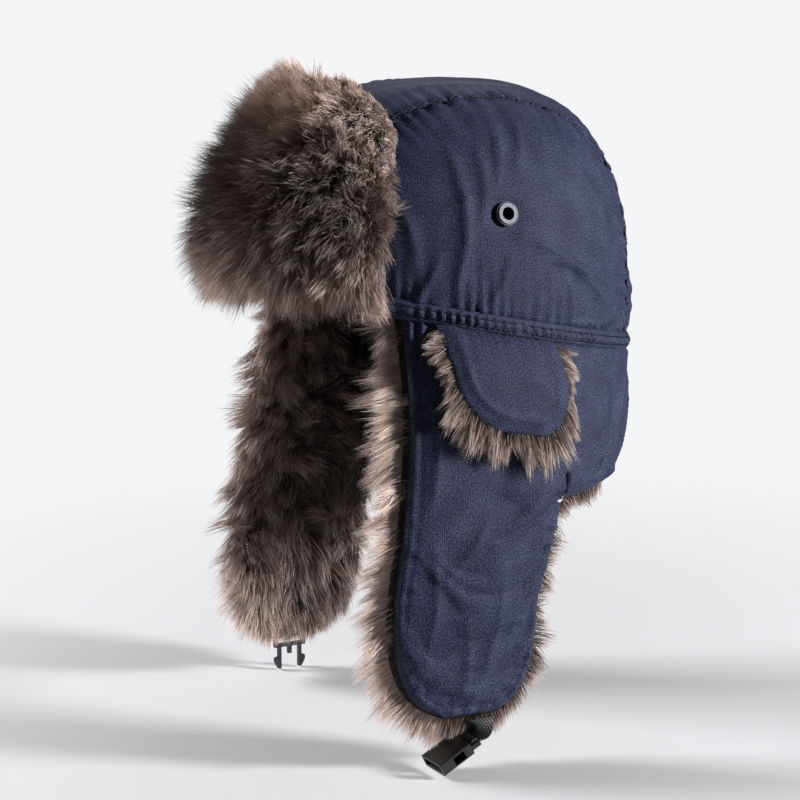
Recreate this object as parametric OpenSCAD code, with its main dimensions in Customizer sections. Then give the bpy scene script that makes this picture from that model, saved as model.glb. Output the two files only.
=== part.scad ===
// Trapper hat. A padded three-panel crown stands on a narrow gathered band. A fur-lined skirt hangs
// from the band and covers the ears and the nape, and an ear flap folds on each side of it. Over each
// ear hole hangs a small half-round cover. A fur front flap stands against the forehead, and the chin
// strap ends in a side-release buckle: the socket on the wearer's left and the plug on the right.
//
// Millimetres. The wearer looks along -Y and +Z is up. The origin is the middle of the head opening,
// in the plane where the crown meets the band.

/* [Crown] */
// Half width of the crown, ear to ear
crown_half_w = 92; // [76:1:112]
// Half length of the crown, forehead to nape
crown_half_l = 110; // [91:1:134]
// Height of the crown above the middle of the head opening
crown_h = 118; // [98:1:144]
// Squareness of the crown's profile, where 2 is an ellipse
crown_square = 2.7; // [2.2:0.1:3.2]
// Fall of the band towards the nape, in mm per mm
band_fall = 0.2; // [0.1:0.01:0.25]
// Half width of the centre panel over the top, before the crown's roundness draws it in
panel_half_top = 48; // [40:1:58]
// Half width of the centre panel at the band, before the crown's roundness draws it in
panel_half_base = 72; // [60:1:86]

/* [Layers] */
// Thickness of the nylon shell
shell_t = 0.8; // [0.5:0.1:1]
// Thickness of the crown's wadding
crown_wadding_t = 4.8; // [4:0.2:6]
// Thickness of the quilted lining
lining_t = 1.2; // [0.8:0.1:1.6]
// Thickness of the wadding in the skirt and ear flaps
skirt_wadding_t = 2.8; // [2:0.2:3.6]
// Depth of the fur pile on the skirt and ear flaps
skirt_fur_t = 15; // [12:0.5:18]
// Gap left between two layers
layer_gap = 0.2; // [0.1:0.05:0.3]
// Gap left between two panels at a seam
seam_gap = 0.4; // [0.2:0.1:0.8]

/* [Band] */
// Height of the band
band_h = 8; // [6:0.5:10]
// How far the band stands proud of the crown
band_proud = 1.2; // [0.8:0.1:1.6]
// Depth of the casing behind the band, which holds the elastic
casing_t = 4.4; // [3.6:0.2:5.4]
// Height of the elastic in the casing
elastic_h = 5; // [4:0.5:6]
// Angle of the nape that the elastic spans
elastic_span = 180; // [120:5:240]

/* [Skirt] */
// Where the skirt's front edge stands at the band, ahead of the ear
front_edge = 62; // [52:1:74]
// How much further forward the front edge runs at the fold
front_sweep = 8.5; // [0:0.5:12]
// Depth of the skirt below the head opening, which is the fold of the ear flaps
skirt_depth = 95; // [80:1:114]
// Outward flare of the sides, in mm per mm
ear_flare = 0.13; // [0.05:0.01:0.16]
// How far the nape's hem tucks in
nape_tuck = 18; // [0:1:24]
// How flat the sides get at the fold, added to the ellipse's power of 2
side_flatness = 1.5; // [0.5:0.1:2]

/* [Ear hole and cover] */
// Radius of the ear hole
ear_hole_r = 15; // [12:0.5:18]
// Ear hole's place ahead of the middle of the head
ear_hole_fore = 10; // [0:1:20]
// Ear hole's depth below the head opening
ear_hole_z = 36; // [30:1:44]
// Half width of the ear cover where it is sewn to the band
cover_half_w = 34; // [28:1:41]
// Length of the ear cover below the band
cover_len = 50; // [42:1:60]
// Middle of the ear cover's seam, ahead of the middle of the head
cover_fore = 13.5; // [8:0.5:20]
// How far the cover's tip leans back
cover_lean = 3.5; // [0:0.5:10]
// Depth of the fur pile under the ear cover
cover_fur_t = 9; // [7:0.5:11]

/* [Ear flaps] */
// Length of the ear flap below its fold
flap_len = 110; // [92:1:132]
// Half width of the ear flap at its fold
flap_half_w = 46; // [38:1:55]
// How much narrower the flap's half width is below its fold
flap_narrowing = 5.5; // [0:0.5:8]
// Middle of the flap at its fold, ahead of the middle of the head
flap_fore = 24.5; // [18:0.5:30]
// How much further forward the lower part of the flap hangs
flap_sweep = 13; // [8:0.5:18]
// How far the flap can be pulled in under the chin, in degrees
flap_pull_in = 12; // [5:1:15]

/* [Front flap] */
// Height of the front flap's top edge above the head opening
front_top = 121; // [101:1:146]
// Height at which the front flap leaves the crown and stands free
front_free = 70; // [56:1:80]
// Half angle that the front flap spans at its seam
front_span_base = 48; // [40:1:52]
// Half angle that the front flap spans at its widest
front_span_top = 52; // [44:1:58]
// Depth of the fur pile on the front flap
front_fur_t = 20; // [16:0.5:24]
// Thickness of the stiffener inside the front flap
stiffener_t = 1.4; // [1:0.1:2]
// Gap between the crown and the front flap
front_gap = 1.9; // [1.6:0.1:3]

/* [Eyelets] */
// Eyelet's place ahead of the middle of the head
eyelet_fore = 7; // [0:1:20]
// Eyelet's height above the head opening
eyelet_z = 55; // [44:1:66]
// Radius of the eyelet's hole
eyelet_bore_r = 3.4; // [2.8:0.1:4.2]
// Radius of the eyelet's flange
eyelet_flange_r = 6.2; // [5.4:0.1:7.6]
// How far the eyelet stands proud of the shell
eyelet_proud = 2.6; // [2:0.1:3.4]

/* [Chin strap] */
// Width of the webbing
webbing_w = 15; // [12:0.5:18]
// Thickness of the webbing
webbing_t = 1.2; // [0.8:0.1:1.6]
// Free length of the right strap, from the flap to the plug's bar
strap_right_len = 4.5; // [4:0.5:20]
// Free length of the left strap, from the flap to the socket's bar
strap_left_len = 14; // [11:0.5:24]
// Dip of the left strap below level, in degrees
strap_dip = 28; // [20:1:60]
// Radius of the bars that hold the webbing
bar_r = 1.2; // [1:0.1:1.5]
// Clearance of a webbing loop round its bar
bar_clearance = 0.1; // [0.05:0.05:0.2]
// Width of a buckle's side rail
rail_w = 2; // [1.6:0.1:2.6]
// Thickness of the plug
plug_t = 2.6; // [2.4:0.1:3.2]
// Length of the plug's arms
arm_len = 13; // [11:0.5:15]
// Thickness of the socket
socket_t = 7.4; // [6.6:0.1:8.6]
// Length of the socket's body
socket_len = 20; // [17:0.5:24]

/* [Hidden] */

navy = [0.13, 0.15, 0.24];
fur_brown = [0.27, 0.22, 0.19];
satin_black = [0.07, 0.07, 0.08];
batting_white = [0.86, 0.86, 0.84];
plastic_black = [0.05, 0.05, 0.06];

// Where each layer lies, as its inner and outer distance from the outside of the shell.
shell = [-shell_t, 0];
crown_wadding = [shell[0] - layer_gap - crown_wadding_t, shell[0] - layer_gap];
lining = [crown_wadding[0] - layer_gap - lining_t, crown_wadding[0] - layer_gap];
skirt_wadding = [shell[0] - layer_gap - skirt_wadding_t, shell[0] - layer_gap];
skirt_fur = [skirt_wadding[0] - layer_gap - skirt_fur_t, skirt_wadding[0] - layer_gap];
front_shell = [front_gap, front_gap + shell_t];
front_stiffener = [front_shell[1] + layer_gap, front_shell[1] + layer_gap + stiffener_t];
front_fur = [front_stiffener[1] + layer_gap, front_stiffener[1] + layer_gap + front_fur_t];

// ---- Solids between two curved surfaces ----

// Two triangles for the four corners a, b, c and d, in order round a face.
function facet(a, b, c, d) = [[c, b, a], [d, c, a]];

// A sheet of cloth, wadding or fur. at(u, v, w) gives its points: u and v run from 0 to 1 over it, and w is
// 0 on its inside and 1 on its outside. Seen from outside, v runs a quarter turn to the left of u.
module sheet(at, across, along) {
    row = across + 1;
    side = row * (along + 1);
    points = [for (w = [1, 0], j = [0:along], i = [0:across]) at(i / across, j / along, w)];
    outside = [for (j = [0:along - 1], i = [0:across - 1])
        let (k = j * row + i) each facet(k, k + 1, k + row + 1, k + row)];
    inside = [for (j = [0:along - 1], i = [0:across - 1])
        let (k = side + j * row + i) each facet(k, k + row, k + row + 1, k + 1)];
    foot = [for (i = [0:across - 1]) each facet(side + i, side + i + 1, i + 1, i)];
    head = [for (i = [0:across - 1])
        let (k = along * row + i) each facet(k, k + 1, side + k + 1, side + k)];
    start = [for (j = [0:along - 1])
        let (k = j * row) each facet(k, k + row, side + k + row, side + k)];
    end = [for (j = [0:along - 1])
        let (k = j * row + across) each facet(k + row, k, side + k, side + k + row)];
    polyhedron(points, concat(outside, inside, foot, head, start, end));
}

// A closed ring, swept through a list of closed cross-sections.
module ring(sections) {
    count = len(sections);
    corners = len(sections[0]);
    polyhedron([for (s = sections) each s], [for (i = [0:count - 1], k = [0:corners - 1])
        let (next = ((i + 1) % count) * corners, other = (k + 1) % corners)
            each facet(i * corners + k, i * corners + other, next + other, next + k)]);
}

// The parts on the wearer's right are mirror images of those on the left.
module right() mirror([1, 0, 0]) children();

// ---- The crown's surface ----

// The crown's point in direction d, at distance o outside its shell.
function crown_at(d, o) =
    let (
        level = norm([d.x / (crown_half_w + o), d.y / (crown_half_l + o)]),
        rise = max(0, d.z) / (crown_h + o)
    )
    d * pow(pow(level, crown_square) + pow(rise, crown_square), -1 / crown_square);

// Share of the crown's plan that is left at height z.
function crown_share(z) = pow(1 - pow(min(1, max(0, z) / crown_h), crown_square), 1 / crown_square);

// The way to a point of the seam between the centre panel and the left panel. q runs from 0 at the nape,
// over the top, to 1 at the forehead, and out moves the point away from the middle of the crown.
function seam_way(q, out) =
    let (
        turn = 180 * q - atan(band_fall),
        straight = [0, cos(turn), sin(turn)],
        spread = panel_half_top + (panel_half_base - panel_half_top) * pow(abs(2 * q - 1), 3)
    )
    straight + [(spread + out) / norm(crown_at(straight, 0)), 0, 0];

function seam_point(q, out) = crown_at(seam_way(q, out), 0);

// The angle round the band, from the wearer's left towards the nape, of the seam's foot.
function seam_foot_angle(out) =
    let (foot = seam_point(0, out)) atan2(foot.y / crown_half_l, foot.x / crown_half_w);

function band_point(angle) =
    let (y = crown_half_l * sin(angle)) [crown_half_w * cos(angle), y, -band_fall * y];

// The left panel is a square stretched over the arch of its seam: this much of the seam, at each end, is a side.
seam_corner = 0.2;

function side_panel_way(u, v) =
    let (
        foot = seam_foot_angle(seam_gap),
        low = band_point(foot * (1 - 2 * u)),
        high = seam_point(seam_corner + (1 - 2 * seam_corner) * u, seam_gap),
        rear = seam_point(seam_corner * v, seam_gap),
        fore = seam_point(1 - seam_corner * v, seam_gap)
    )
    (1 - v) * low + v * high + (1 - u) * rear + u * fore
        - (1 - v) * ((1 - u) * band_point(foot) + u * band_point(-foot))
        - v * ((1 - u) * seam_point(seam_corner, seam_gap) + u * seam_point(1 - seam_corner, seam_gap));

module side_layer(layer)
    sheet(function(u, v, w) crown_at(side_panel_way(1 - u, v), layer[w]), 14, 10);

module centre_layer(layer)
    sheet(function(u, v, w)
        let (way = seam_way(v, -seam_gap)) crown_at([way.x * (2 * u - 1), way.y, way.z], layer[w]), 8, 26);

// ---- Crown ----

module crown_centre_panel() color(navy) centre_layer(shell);

module crown_side_panel_left() color(navy) difference() {
    side_layer(shell);
    at_eyelet() cylinder(r = eyelet_bore_r + eyelet_wall + layer_gap, h = 12, center = true, $fn = 48);
}

module crown_wadding_centre() color(batting_white) centre_layer(crown_wadding);

module crown_wadding_left() color(batting_white) difference() {
    side_layer(crown_wadding);
    at_eyelet() cylinder(r = eyelet_flange_r + 2 * layer_gap, h = 6 * crown_wadding_t, center = true, $fn = 48);
}

module crown_lining_centre() color(satin_black) centre_layer(lining);

module crown_lining_left() color(satin_black) side_layer(lining);

// ---- Band ----

// The band's point at an angle, this far outside the shell and this far below the crown.
function band_at(angle, o, down) = [
    (crown_half_w + o) * cos(angle),
    (crown_half_l + o) * sin(angle),
    -band_fall * (crown_half_l + o) * sin(angle) - down,
];

casing_wall = 0.8;

module band_casing() color(navy) {
    inner = band_proud - casing_t;
    profile = [
        [band_proud, seam_gap], [band_proud, band_h], [band_proud - casing_wall, band_h],
        [band_proud - casing_wall, seam_gap + casing_wall], [inner + casing_wall, seam_gap + casing_wall],
        [inner + casing_wall, band_h], [inner, band_h], [inner, seam_gap],
    ];
    ring([for (angle = [0:6:354]) [for (p = profile) band_at(angle, p.x, p.y)]]);
}

module band_elastic() color(batting_white) {
    outer = band_proud - casing_wall - layer_gap;
    inner = band_proud - casing_t + casing_wall + layer_gap;
    top = (band_h + casing_wall - elastic_h) / 2;
    sheet(function(u, v, w)
        band_at(90 + elastic_span * (u - 0.5), w == 1 ? outer : inner, top + elastic_h * (1 - v)), 30, 1);
}

// ---- Eyelets ----

eyelet_wall = 0.8;
washer_t = 0.7;
washer_top = -shell_t - 1;
washer_foot = washer_top - washer_t;

// Puts its children on the left panel, with their +Z straight out of the crown.
module at_eyelet() {
    share = crown_share(eyelet_z);
    x = crown_half_w * sqrt(pow(share, 2) - pow(eyelet_fore / crown_half_l, 2));
    level = pow(share, crown_square - 2);
    out = [
        level * x / pow(crown_half_w, 2),
        -level * eyelet_fore / pow(crown_half_l, 2),
        pow(eyelet_z / crown_h, crown_square - 1) / crown_h,
    ];
    translate([x, -eyelet_fore, eyelet_z])
        rotate([0, acos(out.z / norm(out)), atan2(out.y, out.x)])
            children();
}

module eyelet_left() color(plastic_black) at_eyelet() rotate_extrude($fn = 64) {
    barrel_end = washer_foot - layer_gap;
    flange_w = eyelet_flange_r - eyelet_bore_r;
    edge_r = 0.9;
    translate([eyelet_bore_r, barrel_end]) square([eyelet_wall, eyelet_proud - barrel_end - edge_r]);
    translate([eyelet_bore_r, layer_gap]) square([flange_w - edge_r, eyelet_proud - layer_gap - edge_r]);
    translate([eyelet_bore_r + eyelet_wall, layer_gap])
        square([flange_w - eyelet_wall, eyelet_proud - layer_gap - edge_r]);
    translate([eyelet_bore_r, eyelet_proud - edge_r - 0.01]) square([flange_w - edge_r, edge_r + 0.01]);
    translate([eyelet_flange_r - edge_r, eyelet_proud - edge_r]) circle(edge_r, $fn = 32);
}

module eyelet_washer_left() color(plastic_black) at_eyelet() difference() {
    translate([0, 0, washer_foot]) cylinder(r = eyelet_flange_r, h = washer_t, $fn = 64);
    translate([0, 0, washer_foot - washer_t])
        cylinder(r = eyelet_bore_r + eyelet_wall + 0.05, h = 3 * washer_t, $fn = 64);
}

// ---- The skirt's surface ----

// Share of the flare and of the flattening that is reached at height z.
function sunk(z) = max(0, -z);
function flared(z) = min(1, sunk(z) / (skirt_depth + 15));
function side_x(z) = crown_half_w + ear_flare * flared(z) * (skirt_depth + 15);
function flatness(y, z) = y > 0 ? 2 : 2 + side_flatness * flared(z);
function tucked(z) = nape_tuck * pow(min(1, sunk(z) / skirt_depth), 4);
function length_y(y, z) = crown_half_l - (y > 0 ? tucked(z) : 0);

function signed_power(b, p) = sign(b) * pow(abs(b), p);

// The side's distance from the middle at y and z, at distance o outside the shell.
function ear_x(y, z, o) =
    let (n = flatness(y, z)) (side_x(z) + o) * pow(1 - pow(abs(y) / (length_y(y, z) + o), n), 1 / n);

// The skirt's point at an angle round the head, from the wearer's left towards the nape.
function skirt_at(angle, z, o) =
    let (n = flatness(sin(angle), z), y = (length_y(sin(angle), z) + o) * signed_power(sin(angle), 2 / n))
    [(side_x(z) + o) * signed_power(cos(angle), 2 / n), y, z];

function band_foot(y) = -band_fall * y - band_h - seam_gap;

function front_edge_y(z) = -front_edge - front_sweep * pow(min(1, sunk(z) / skirt_depth), 2);

// The angle round the head of the skirt's front edge, at distance o outside the shell, drawn on by past.
function front_angle(z, o, past) =
    let (y = front_edge_y(z) - past) -asin(pow(-y / (crown_half_l + o), flatness(y, z) / 2));

// Where the skirt's fur and wadding are split between an ear and the nape.
nape_angle = 34;
nape_seam = 0.3;
fur_past = 4;
wadding_past = -1;

// Half of a fold's gap: what is behind the fold stays clear when the flap is pulled in under the chin.
function fold_room(o) = 0.9 + (fold_inset - o) * sin(flap_pull_in) / 2;

// One layer of the skirt between two angles, which depend on the height and on the distance outside the shell.
module skirt_layer(layer, start_at, end_at, across)
    sheet(function(u, v, w)
        let (
            o = layer[w],
            first = start_at(-skirt_depth / 2, o),
            last = end_at(-skirt_depth / 2, o),
            guess = first + (last - first) * u,
            top = band_foot(crown_half_l * sin(guess)),
            z = top + (-skirt_depth + fold_room(layer[0]) - top) * (1 - v),
            from = start_at(z, o),
            to = end_at(z, o)
        )
        skirt_at(from + (to - from) * u, z, o), across, 9);

// ---- Skirt ----

module at_ear_hole() translate([crown_half_w, -ear_hole_fore, -ear_hole_z]) rotate([0, 90, 0]) children();

module ear_hole(room = 0) at_ear_hole()
    cylinder(r = ear_hole_r + room, h = crown_half_w, center = true, $fn = 64);

module skirt_shell() color(navy) difference() {
    skirt_layer(shell, function(z, o) front_angle(z, o, 0), function(z, o) 180 - front_angle(z, o, 0), 56);
    ear_hole();
    right() ear_hole();
}

module ear_layer(layer, past) difference() {
    skirt_layer(layer, function(z, o) front_angle(z, o, past), function(z, o) nape_angle - nape_seam, 14);
    ear_hole();
}

module nape_layer(layer)
    skirt_layer(layer, function(z, o) nape_angle, function(z, o) 180 - nape_angle, 16);

module ear_wadding_left() color(batting_white) ear_layer(skirt_wadding, wadding_past);

module neck_wadding() color(batting_white) nape_layer(skirt_wadding);

module ear_fur_left() color(fur_brown) ear_layer(skirt_fur, fur_past);

module neck_fur() color(fur_brown) nape_layer(skirt_fur);

// ---- Ear covers ----

cover_rest = 0.6;
cover_foot_share = 0.985;

// The left cover's point. s is 0 at the seam and 1 at the tip, and o is 0 on the skirt's side of a layer.
function cover_at(u, s, o) =
    let (
        y = -cover_fore + cover_lean * s + (2 * u - 1) * cover_half_w * sqrt(1 - pow(s, 4.5)),
        z = band_foot(y) - seam_gap - cover_len * s,
        filled = pow(min(1, s / 0.4), 0.7)
    )
    [ear_x(y, z, o * filled), y, z];

module ear_cover_fur_left() color(fur_brown) sheet(function(u, v, w)
    cover_at(u, cover_foot_share * (1 - v), w * cover_fur_t) + [cover_rest + w * 0.6, 0, 0], 14, 10);

module ear_cover_shell_left() color(navy) sheet(function(u, v, w)
    cover_at(u, cover_foot_share * (1 - v), cover_fur_t)
        + [cover_rest + 0.6 + layer_gap + w * shell_t, 0, 0], 14, 10);

// ---- Ear flaps ----

flap_foot_share = 0.985;

// The fold's axis runs along Y, on the outside of the shell at the middle of the flap.
fold_x = ear_x(-flap_fore, -skirt_depth, 0);
fold_inset = fold_x - ear_x(front_edge_y(-skirt_depth), -skirt_depth, 0);

// One layer of the left ear flap, spread this much past the shell's front and rear edges.
module flap_layer(layer, past = 0)
    sheet(function(u, v, w)
        let (
            s = flap_foot_share * (1 - v),
            lower = sin(90 * min(1, s / 0.6)),
            half = (flap_half_w - flap_narrowing * lower) * sqrt(1 - pow(s, 7)) + past,
            y = -flap_fore - flap_sweep * lower + (2 * u - 1) * half,
            head = -skirt_depth - fold_room(layer[0]),
            z = head - (flap_len - fold_room(layer[0])) * s
        )
        [ear_x(y, z, layer[w]), y, z], 14, 14);

module ear_flap_shell_left() color(navy) flap_layer(shell);

module ear_flap_wadding_left() color(batting_white) flap_layer(skirt_wadding, wadding_past);

module ear_flap_fur_left() color(fur_brown) flap_layer(skirt_fur, fur_past);

// ---- Front flap ----

// Share of the crown's plan that the front flap follows: the crown's own up to front_free, then straight on.
function front_share(z) =
    let (
        lean = pow(front_free / crown_h, crown_square - 1) / crown_h
            * pow(1 - pow(front_free / crown_h, crown_square), 1 / crown_square - 1)
    )
    z < front_free ? crown_share(z) : crown_share(front_free) - lean * (z - front_free);

// One layer of the front flap. The top corners are rounded by drawing the top edge down at its ends.
module front_layer(layer)
    sheet(function(u, v, w)
        let (
            p = 2 * u - 1,
            angle = -90 + p * (front_span_base + (front_span_top - front_span_base) * sin(90 * v)),
            low = band_fall * crown_half_l * -sin(angle) + band_proud,
            high = low + (front_top - low) * sqrt(1 - 0.42 * pow(abs(p), 5)),
            z = low + (high - low) * v,
            share = front_share(z),
            o = layer[w]
        )
        [(crown_half_w * share + o) * cos(angle), (crown_half_l * share + o) * sin(angle), z], 18, 10);

module front_flap_shell() color(navy) front_layer(front_shell);

module front_flap_stiffener() color(batting_white) front_layer(front_stiffener);

module front_flap_fur() color(fur_brown) front_layer(front_fur);

// ---- Chin strap and buckle ----

strap_x = ear_x(-flap_fore - flap_sweep, -skirt_depth - flap_len, (skirt_wadding[0] + skirt_wadding[1]) / 2);
strap_z = -skirt_depth - flap_len - 0.8;
strap_right_y = -flap_fore - flap_sweep - 2.5;
strap_left_y = strap_right_y + 10;
loop_r = bar_r + bar_clearance + webbing_t;
buckle_w = webbing_w + 1 + 2 * rail_w;

// The eye that the webbing makes round a buckle's bar, at the origin, with the bar along X.
module webbing_loop() rotate([90, 0, 90]) linear_extrude(webbing_w, center = true) difference() {
    circle(loop_r, $fn = 48);
    circle(bar_r + bar_clearance, $fn = 48);
}

// Puts its children at the right strap's bar, with X along the bar and the strap above.
module at_plug() translate([-strap_x, strap_right_y, strap_z - strap_right_len]) rotate([0, 0, 90]) children();

// The left strap bends forward as it leaves the flap. a is how far it has turned from straight down.
strap_bend = 90 - strap_dip;
strap_bend_r = (strap_left_len - loop_r) / (strap_bend * PI / 180);
function strap_point(a) =
    [strap_x, strap_left_y - strap_bend_r * (1 - cos(a)), strap_z - strap_bend_r * sin(a)];

// Puts its children at the left strap's bar, with X along the bar and the strap above.
module at_socket()
    translate(strap_point(strap_bend)) rotate([-strap_bend, 0, 0])
        translate([0, 0, webbing_t / 2 - loop_r]) children();

module strap_right() color(plastic_black) at_plug() union() {
    webbing_loop();
    translate([-webbing_w / 2, -webbing_t / 2, loop_r - webbing_t / 2])
        cube([webbing_w, webbing_t, strap_right_len - loop_r]);
}

// The left strap leaves the flap with its width along the flap's foot, and twists a quarter turn to its loop.
module strap_left() color(plastic_black) union() {
    at_socket() webbing_loop();
    sheet(function(u, v, w)
        let (
            a = strap_bend * (1 - v),
            twist = 90 * v * v * (3 - 2 * v),
            side = (u - 0.5) * webbing_w,
            thick = (w - 0.5) * webbing_t,
            across = side * sin(twist) - thick * cos(twist)
        )
        strap_point(a) + [side * cos(twist) + thick * sin(twist), across * cos(a), -across * sin(a)], 2, 12);
}

// The bar and the two side rails that both halves of the buckle hang from.
module buckle_yoke(depth, thick) {
    rotate([0, 90, 0]) cylinder(r = bar_r, h = buckle_w - 2, center = true, $fn = 48);
    for (side = [-1, 1])
        translate([side * (buckle_w - rail_w) / 2 - rail_w / 2, -thick / 2, -depth])
            cube([rail_w, thick, depth + bar_r + 0.8]);
}

plug_base_top = loop_r + 3.4;
plug_base_h = 2;
arm_w = 1.8;
arm_gap = 0.15;
barb_reach = 3.2;

module buckle_plug() color(plastic_black) at_plug() {
    foot = plug_base_top + plug_base_h;
    buckle_yoke(foot, plug_t);
    translate([-buckle_w / 2, -plug_t / 2, -foot]) cube([buckle_w, plug_t, plug_base_h]);
    translate([-1.2, -plug_t / 2 + 0.3, -foot - 4.5]) cube([2.4, plug_t - 0.6, 4.6]);
}

// One springy arm of the plug, with the barbed head that the socket's window catches.
module plug_arm(side) at_plug() mirror([side < 0 ? 1 : 0, 0, 0])
    translate([buckle_w / 2 - 3.4, 0, -plug_base_top - plug_base_h - arm_gap])
        rotate([90, 0, 0]) linear_extrude(plug_t, center = true) polygon([
            [-arm_w / 2, 0], [-arm_w / 2, -arm_len], [arm_w / 2, -arm_len],
            [barb_reach, -arm_len * 0.68], [barb_reach, -arm_len * 0.5],
            [arm_w / 2, -arm_len * 0.45], [arm_w / 2, 0],
        ]);

module plug_arm_front() color(plastic_black) plug_arm(-1);

module plug_arm_rear() color(plastic_black) plug_arm(1);

socket_wall = 1.5;
window_len = 7;

module buckle_socket() color(plastic_black) at_socket() {
    top = loop_r + 1;
    difference() {
        translate([0, 0, -top - socket_len]) linear_extrude(socket_len) offset(1.4, $fn = 24)
            square([buckle_w - 2.8, socket_t - 2.8], center = true);
        translate([-buckle_w / 2 + socket_wall, -socket_t / 2 + socket_wall, -top - socket_len - 1])
            cube([buckle_w - 2 * socket_wall, socket_t - 2 * socket_wall, socket_len - 2]);
        translate([-buckle_w, -socket_t / 2 + socket_wall, -top - socket_len * 0.42 - window_len / 2])
            cube([2 * buckle_w, socket_t - 2 * socket_wall, window_len]);
    }
    buckle_yoke(top + 0.5, plug_t);
}

// ---- Every node, one at a time or all together ----

crown_centre_panel();
crown_side_panel_left();
right() crown_side_panel_left();  // crown_side_panel_right
crown_wadding_centre();
crown_wadding_left();
right() crown_wadding_left();  // crown_wadding_right
crown_lining_centre();
crown_lining_left();
right() crown_lining_left();  // crown_lining_right
band_casing();
band_elastic();
eyelet_left();
right() eyelet_left();  // eyelet_right
eyelet_washer_left();
right() eyelet_washer_left();  // eyelet_washer_right
skirt_shell();
ear_wadding_left();
right() ear_wadding_left();  // ear_wadding_right
neck_wadding();
ear_fur_left();
right() ear_fur_left();  // ear_fur_right
neck_fur();
ear_cover_shell_left();
right() ear_cover_shell_left();  // ear_cover_shell_right
ear_cover_fur_left();
right() ear_cover_fur_left();  // ear_cover_fur_right
ear_flap_shell_left();
right() ear_flap_shell_left();  // ear_flap_shell_right
ear_flap_wadding_left();
right() ear_flap_wadding_left();  // ear_flap_wadding_right
ear_flap_fur_left();
right() ear_flap_fur_left();  // ear_flap_fur_right
front_flap_shell();
front_flap_stiffener();
front_flap_fur();
strap_left();
strap_right();
buckle_socket();
buckle_plug();
plug_arm_front();
plug_arm_rear();
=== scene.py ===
import bpy
import bmesh
import math
import numpy as np
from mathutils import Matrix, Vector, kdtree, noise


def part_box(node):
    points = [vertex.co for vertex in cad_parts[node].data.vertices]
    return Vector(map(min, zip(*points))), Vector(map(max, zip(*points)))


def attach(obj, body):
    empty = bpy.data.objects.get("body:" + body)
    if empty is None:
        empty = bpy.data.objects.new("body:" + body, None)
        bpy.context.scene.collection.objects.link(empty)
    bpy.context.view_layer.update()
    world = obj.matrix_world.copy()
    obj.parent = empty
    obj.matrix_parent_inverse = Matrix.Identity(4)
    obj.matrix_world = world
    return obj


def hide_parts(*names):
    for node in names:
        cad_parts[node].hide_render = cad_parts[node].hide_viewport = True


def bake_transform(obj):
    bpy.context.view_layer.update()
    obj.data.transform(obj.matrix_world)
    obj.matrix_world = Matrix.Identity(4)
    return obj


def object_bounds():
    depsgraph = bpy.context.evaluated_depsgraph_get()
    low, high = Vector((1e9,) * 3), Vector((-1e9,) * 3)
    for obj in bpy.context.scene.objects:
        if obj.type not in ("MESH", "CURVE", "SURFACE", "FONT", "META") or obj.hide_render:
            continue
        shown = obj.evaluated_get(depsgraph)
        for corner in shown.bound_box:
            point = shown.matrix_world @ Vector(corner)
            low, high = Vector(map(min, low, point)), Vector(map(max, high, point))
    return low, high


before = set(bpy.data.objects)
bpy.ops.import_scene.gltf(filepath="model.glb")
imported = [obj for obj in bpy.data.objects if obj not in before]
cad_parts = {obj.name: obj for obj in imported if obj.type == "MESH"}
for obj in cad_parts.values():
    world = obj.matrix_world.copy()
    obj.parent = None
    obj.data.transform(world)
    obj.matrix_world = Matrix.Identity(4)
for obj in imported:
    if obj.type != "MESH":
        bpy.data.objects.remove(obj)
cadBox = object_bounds()
mm = 0.001
print("frame loaded,", len(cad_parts), "nodes")

# The hat's driving sizes, in metres, the same as the frame's
crown = {
    "halfWidth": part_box("crown_side_panel_left")[1].x,
    "halfLength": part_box("crown_centre_panel")[1].y,
    "height": 118 * mm,
    "square": 2.7,          # how far the dome's outline is from an ellipse
    "bandFall": 0.2,        # the band's slope, from forehead to nape
    "panelHalfTop": 48 * mm,
    "panelHalfBase": 72 * mm,
    "seamCorner": 0.2,
    "seamGap": 0.4 * mm,
    "sewnGap": 0.05 * mm,   # what is left between two panels once their edges are turned in
    "bandHeight": 8 * mm,
    "bandProud": 1.2 * mm,
    "casingDepth": 4.4 * mm,
}
skirt = {
    "depth": 95 * mm,
    "frontEdge": 62 * mm,
    "frontSweep": 8.5 * mm,
    "flare": 0.13,
    "napeTuck": 18 * mm,
    "flatness": 1.5,
    "napeAngle": math.radians(34),
    "holeRadius": 15 * mm,
    "holeFore": 10 * mm,
    "holeDrop": 36 * mm,
}
flap = {
    "length": 110 * mm,
    "halfWidth": 46 * mm,
    "narrowing": 5.5 * mm,
    "fore": 24.5 * mm,
    "sweep": 13 * mm,
}
cover = {"halfWidth": 34 * mm, "length": 50 * mm, "fore": 13.5 * mm, "lean": 3.5 * mm, "pile": 9 * mm}
front = {"top": 121 * mm, "free": 70 * mm, "spanBase": 48, "spanTop": 52}
eyelet = {"fore": 7 * mm, "height": 55 * mm, "bore": 3.4 * mm, "rim": 6.2 * mm, "proud": 2.6 * mm}

view = {"azimuth": 60.5, "elevation": 8, "distance": 1.3, "aim": (-0.0024, -0.0199, -0.0551), "lens": 106.4}


def addCamera():
    turn, rise = math.radians(view["azimuth"]), math.radians(view["elevation"])
    back = Vector((math.sin(turn) * math.cos(rise), -math.cos(turn) * math.cos(rise), math.sin(rise)))
    data = bpy.data.cameras.new("camera")
    data.lens = view["lens"]
    camera = bpy.data.objects.new("camera", data)
    bpy.context.scene.collection.objects.link(camera)
    camera.location = back * view["distance"]
    camera.rotation_euler = (Vector(view["aim"]) - camera.location).to_track_quat("-Z", "Y").to_euler()
    bpy.context.scene.camera = camera


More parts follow.
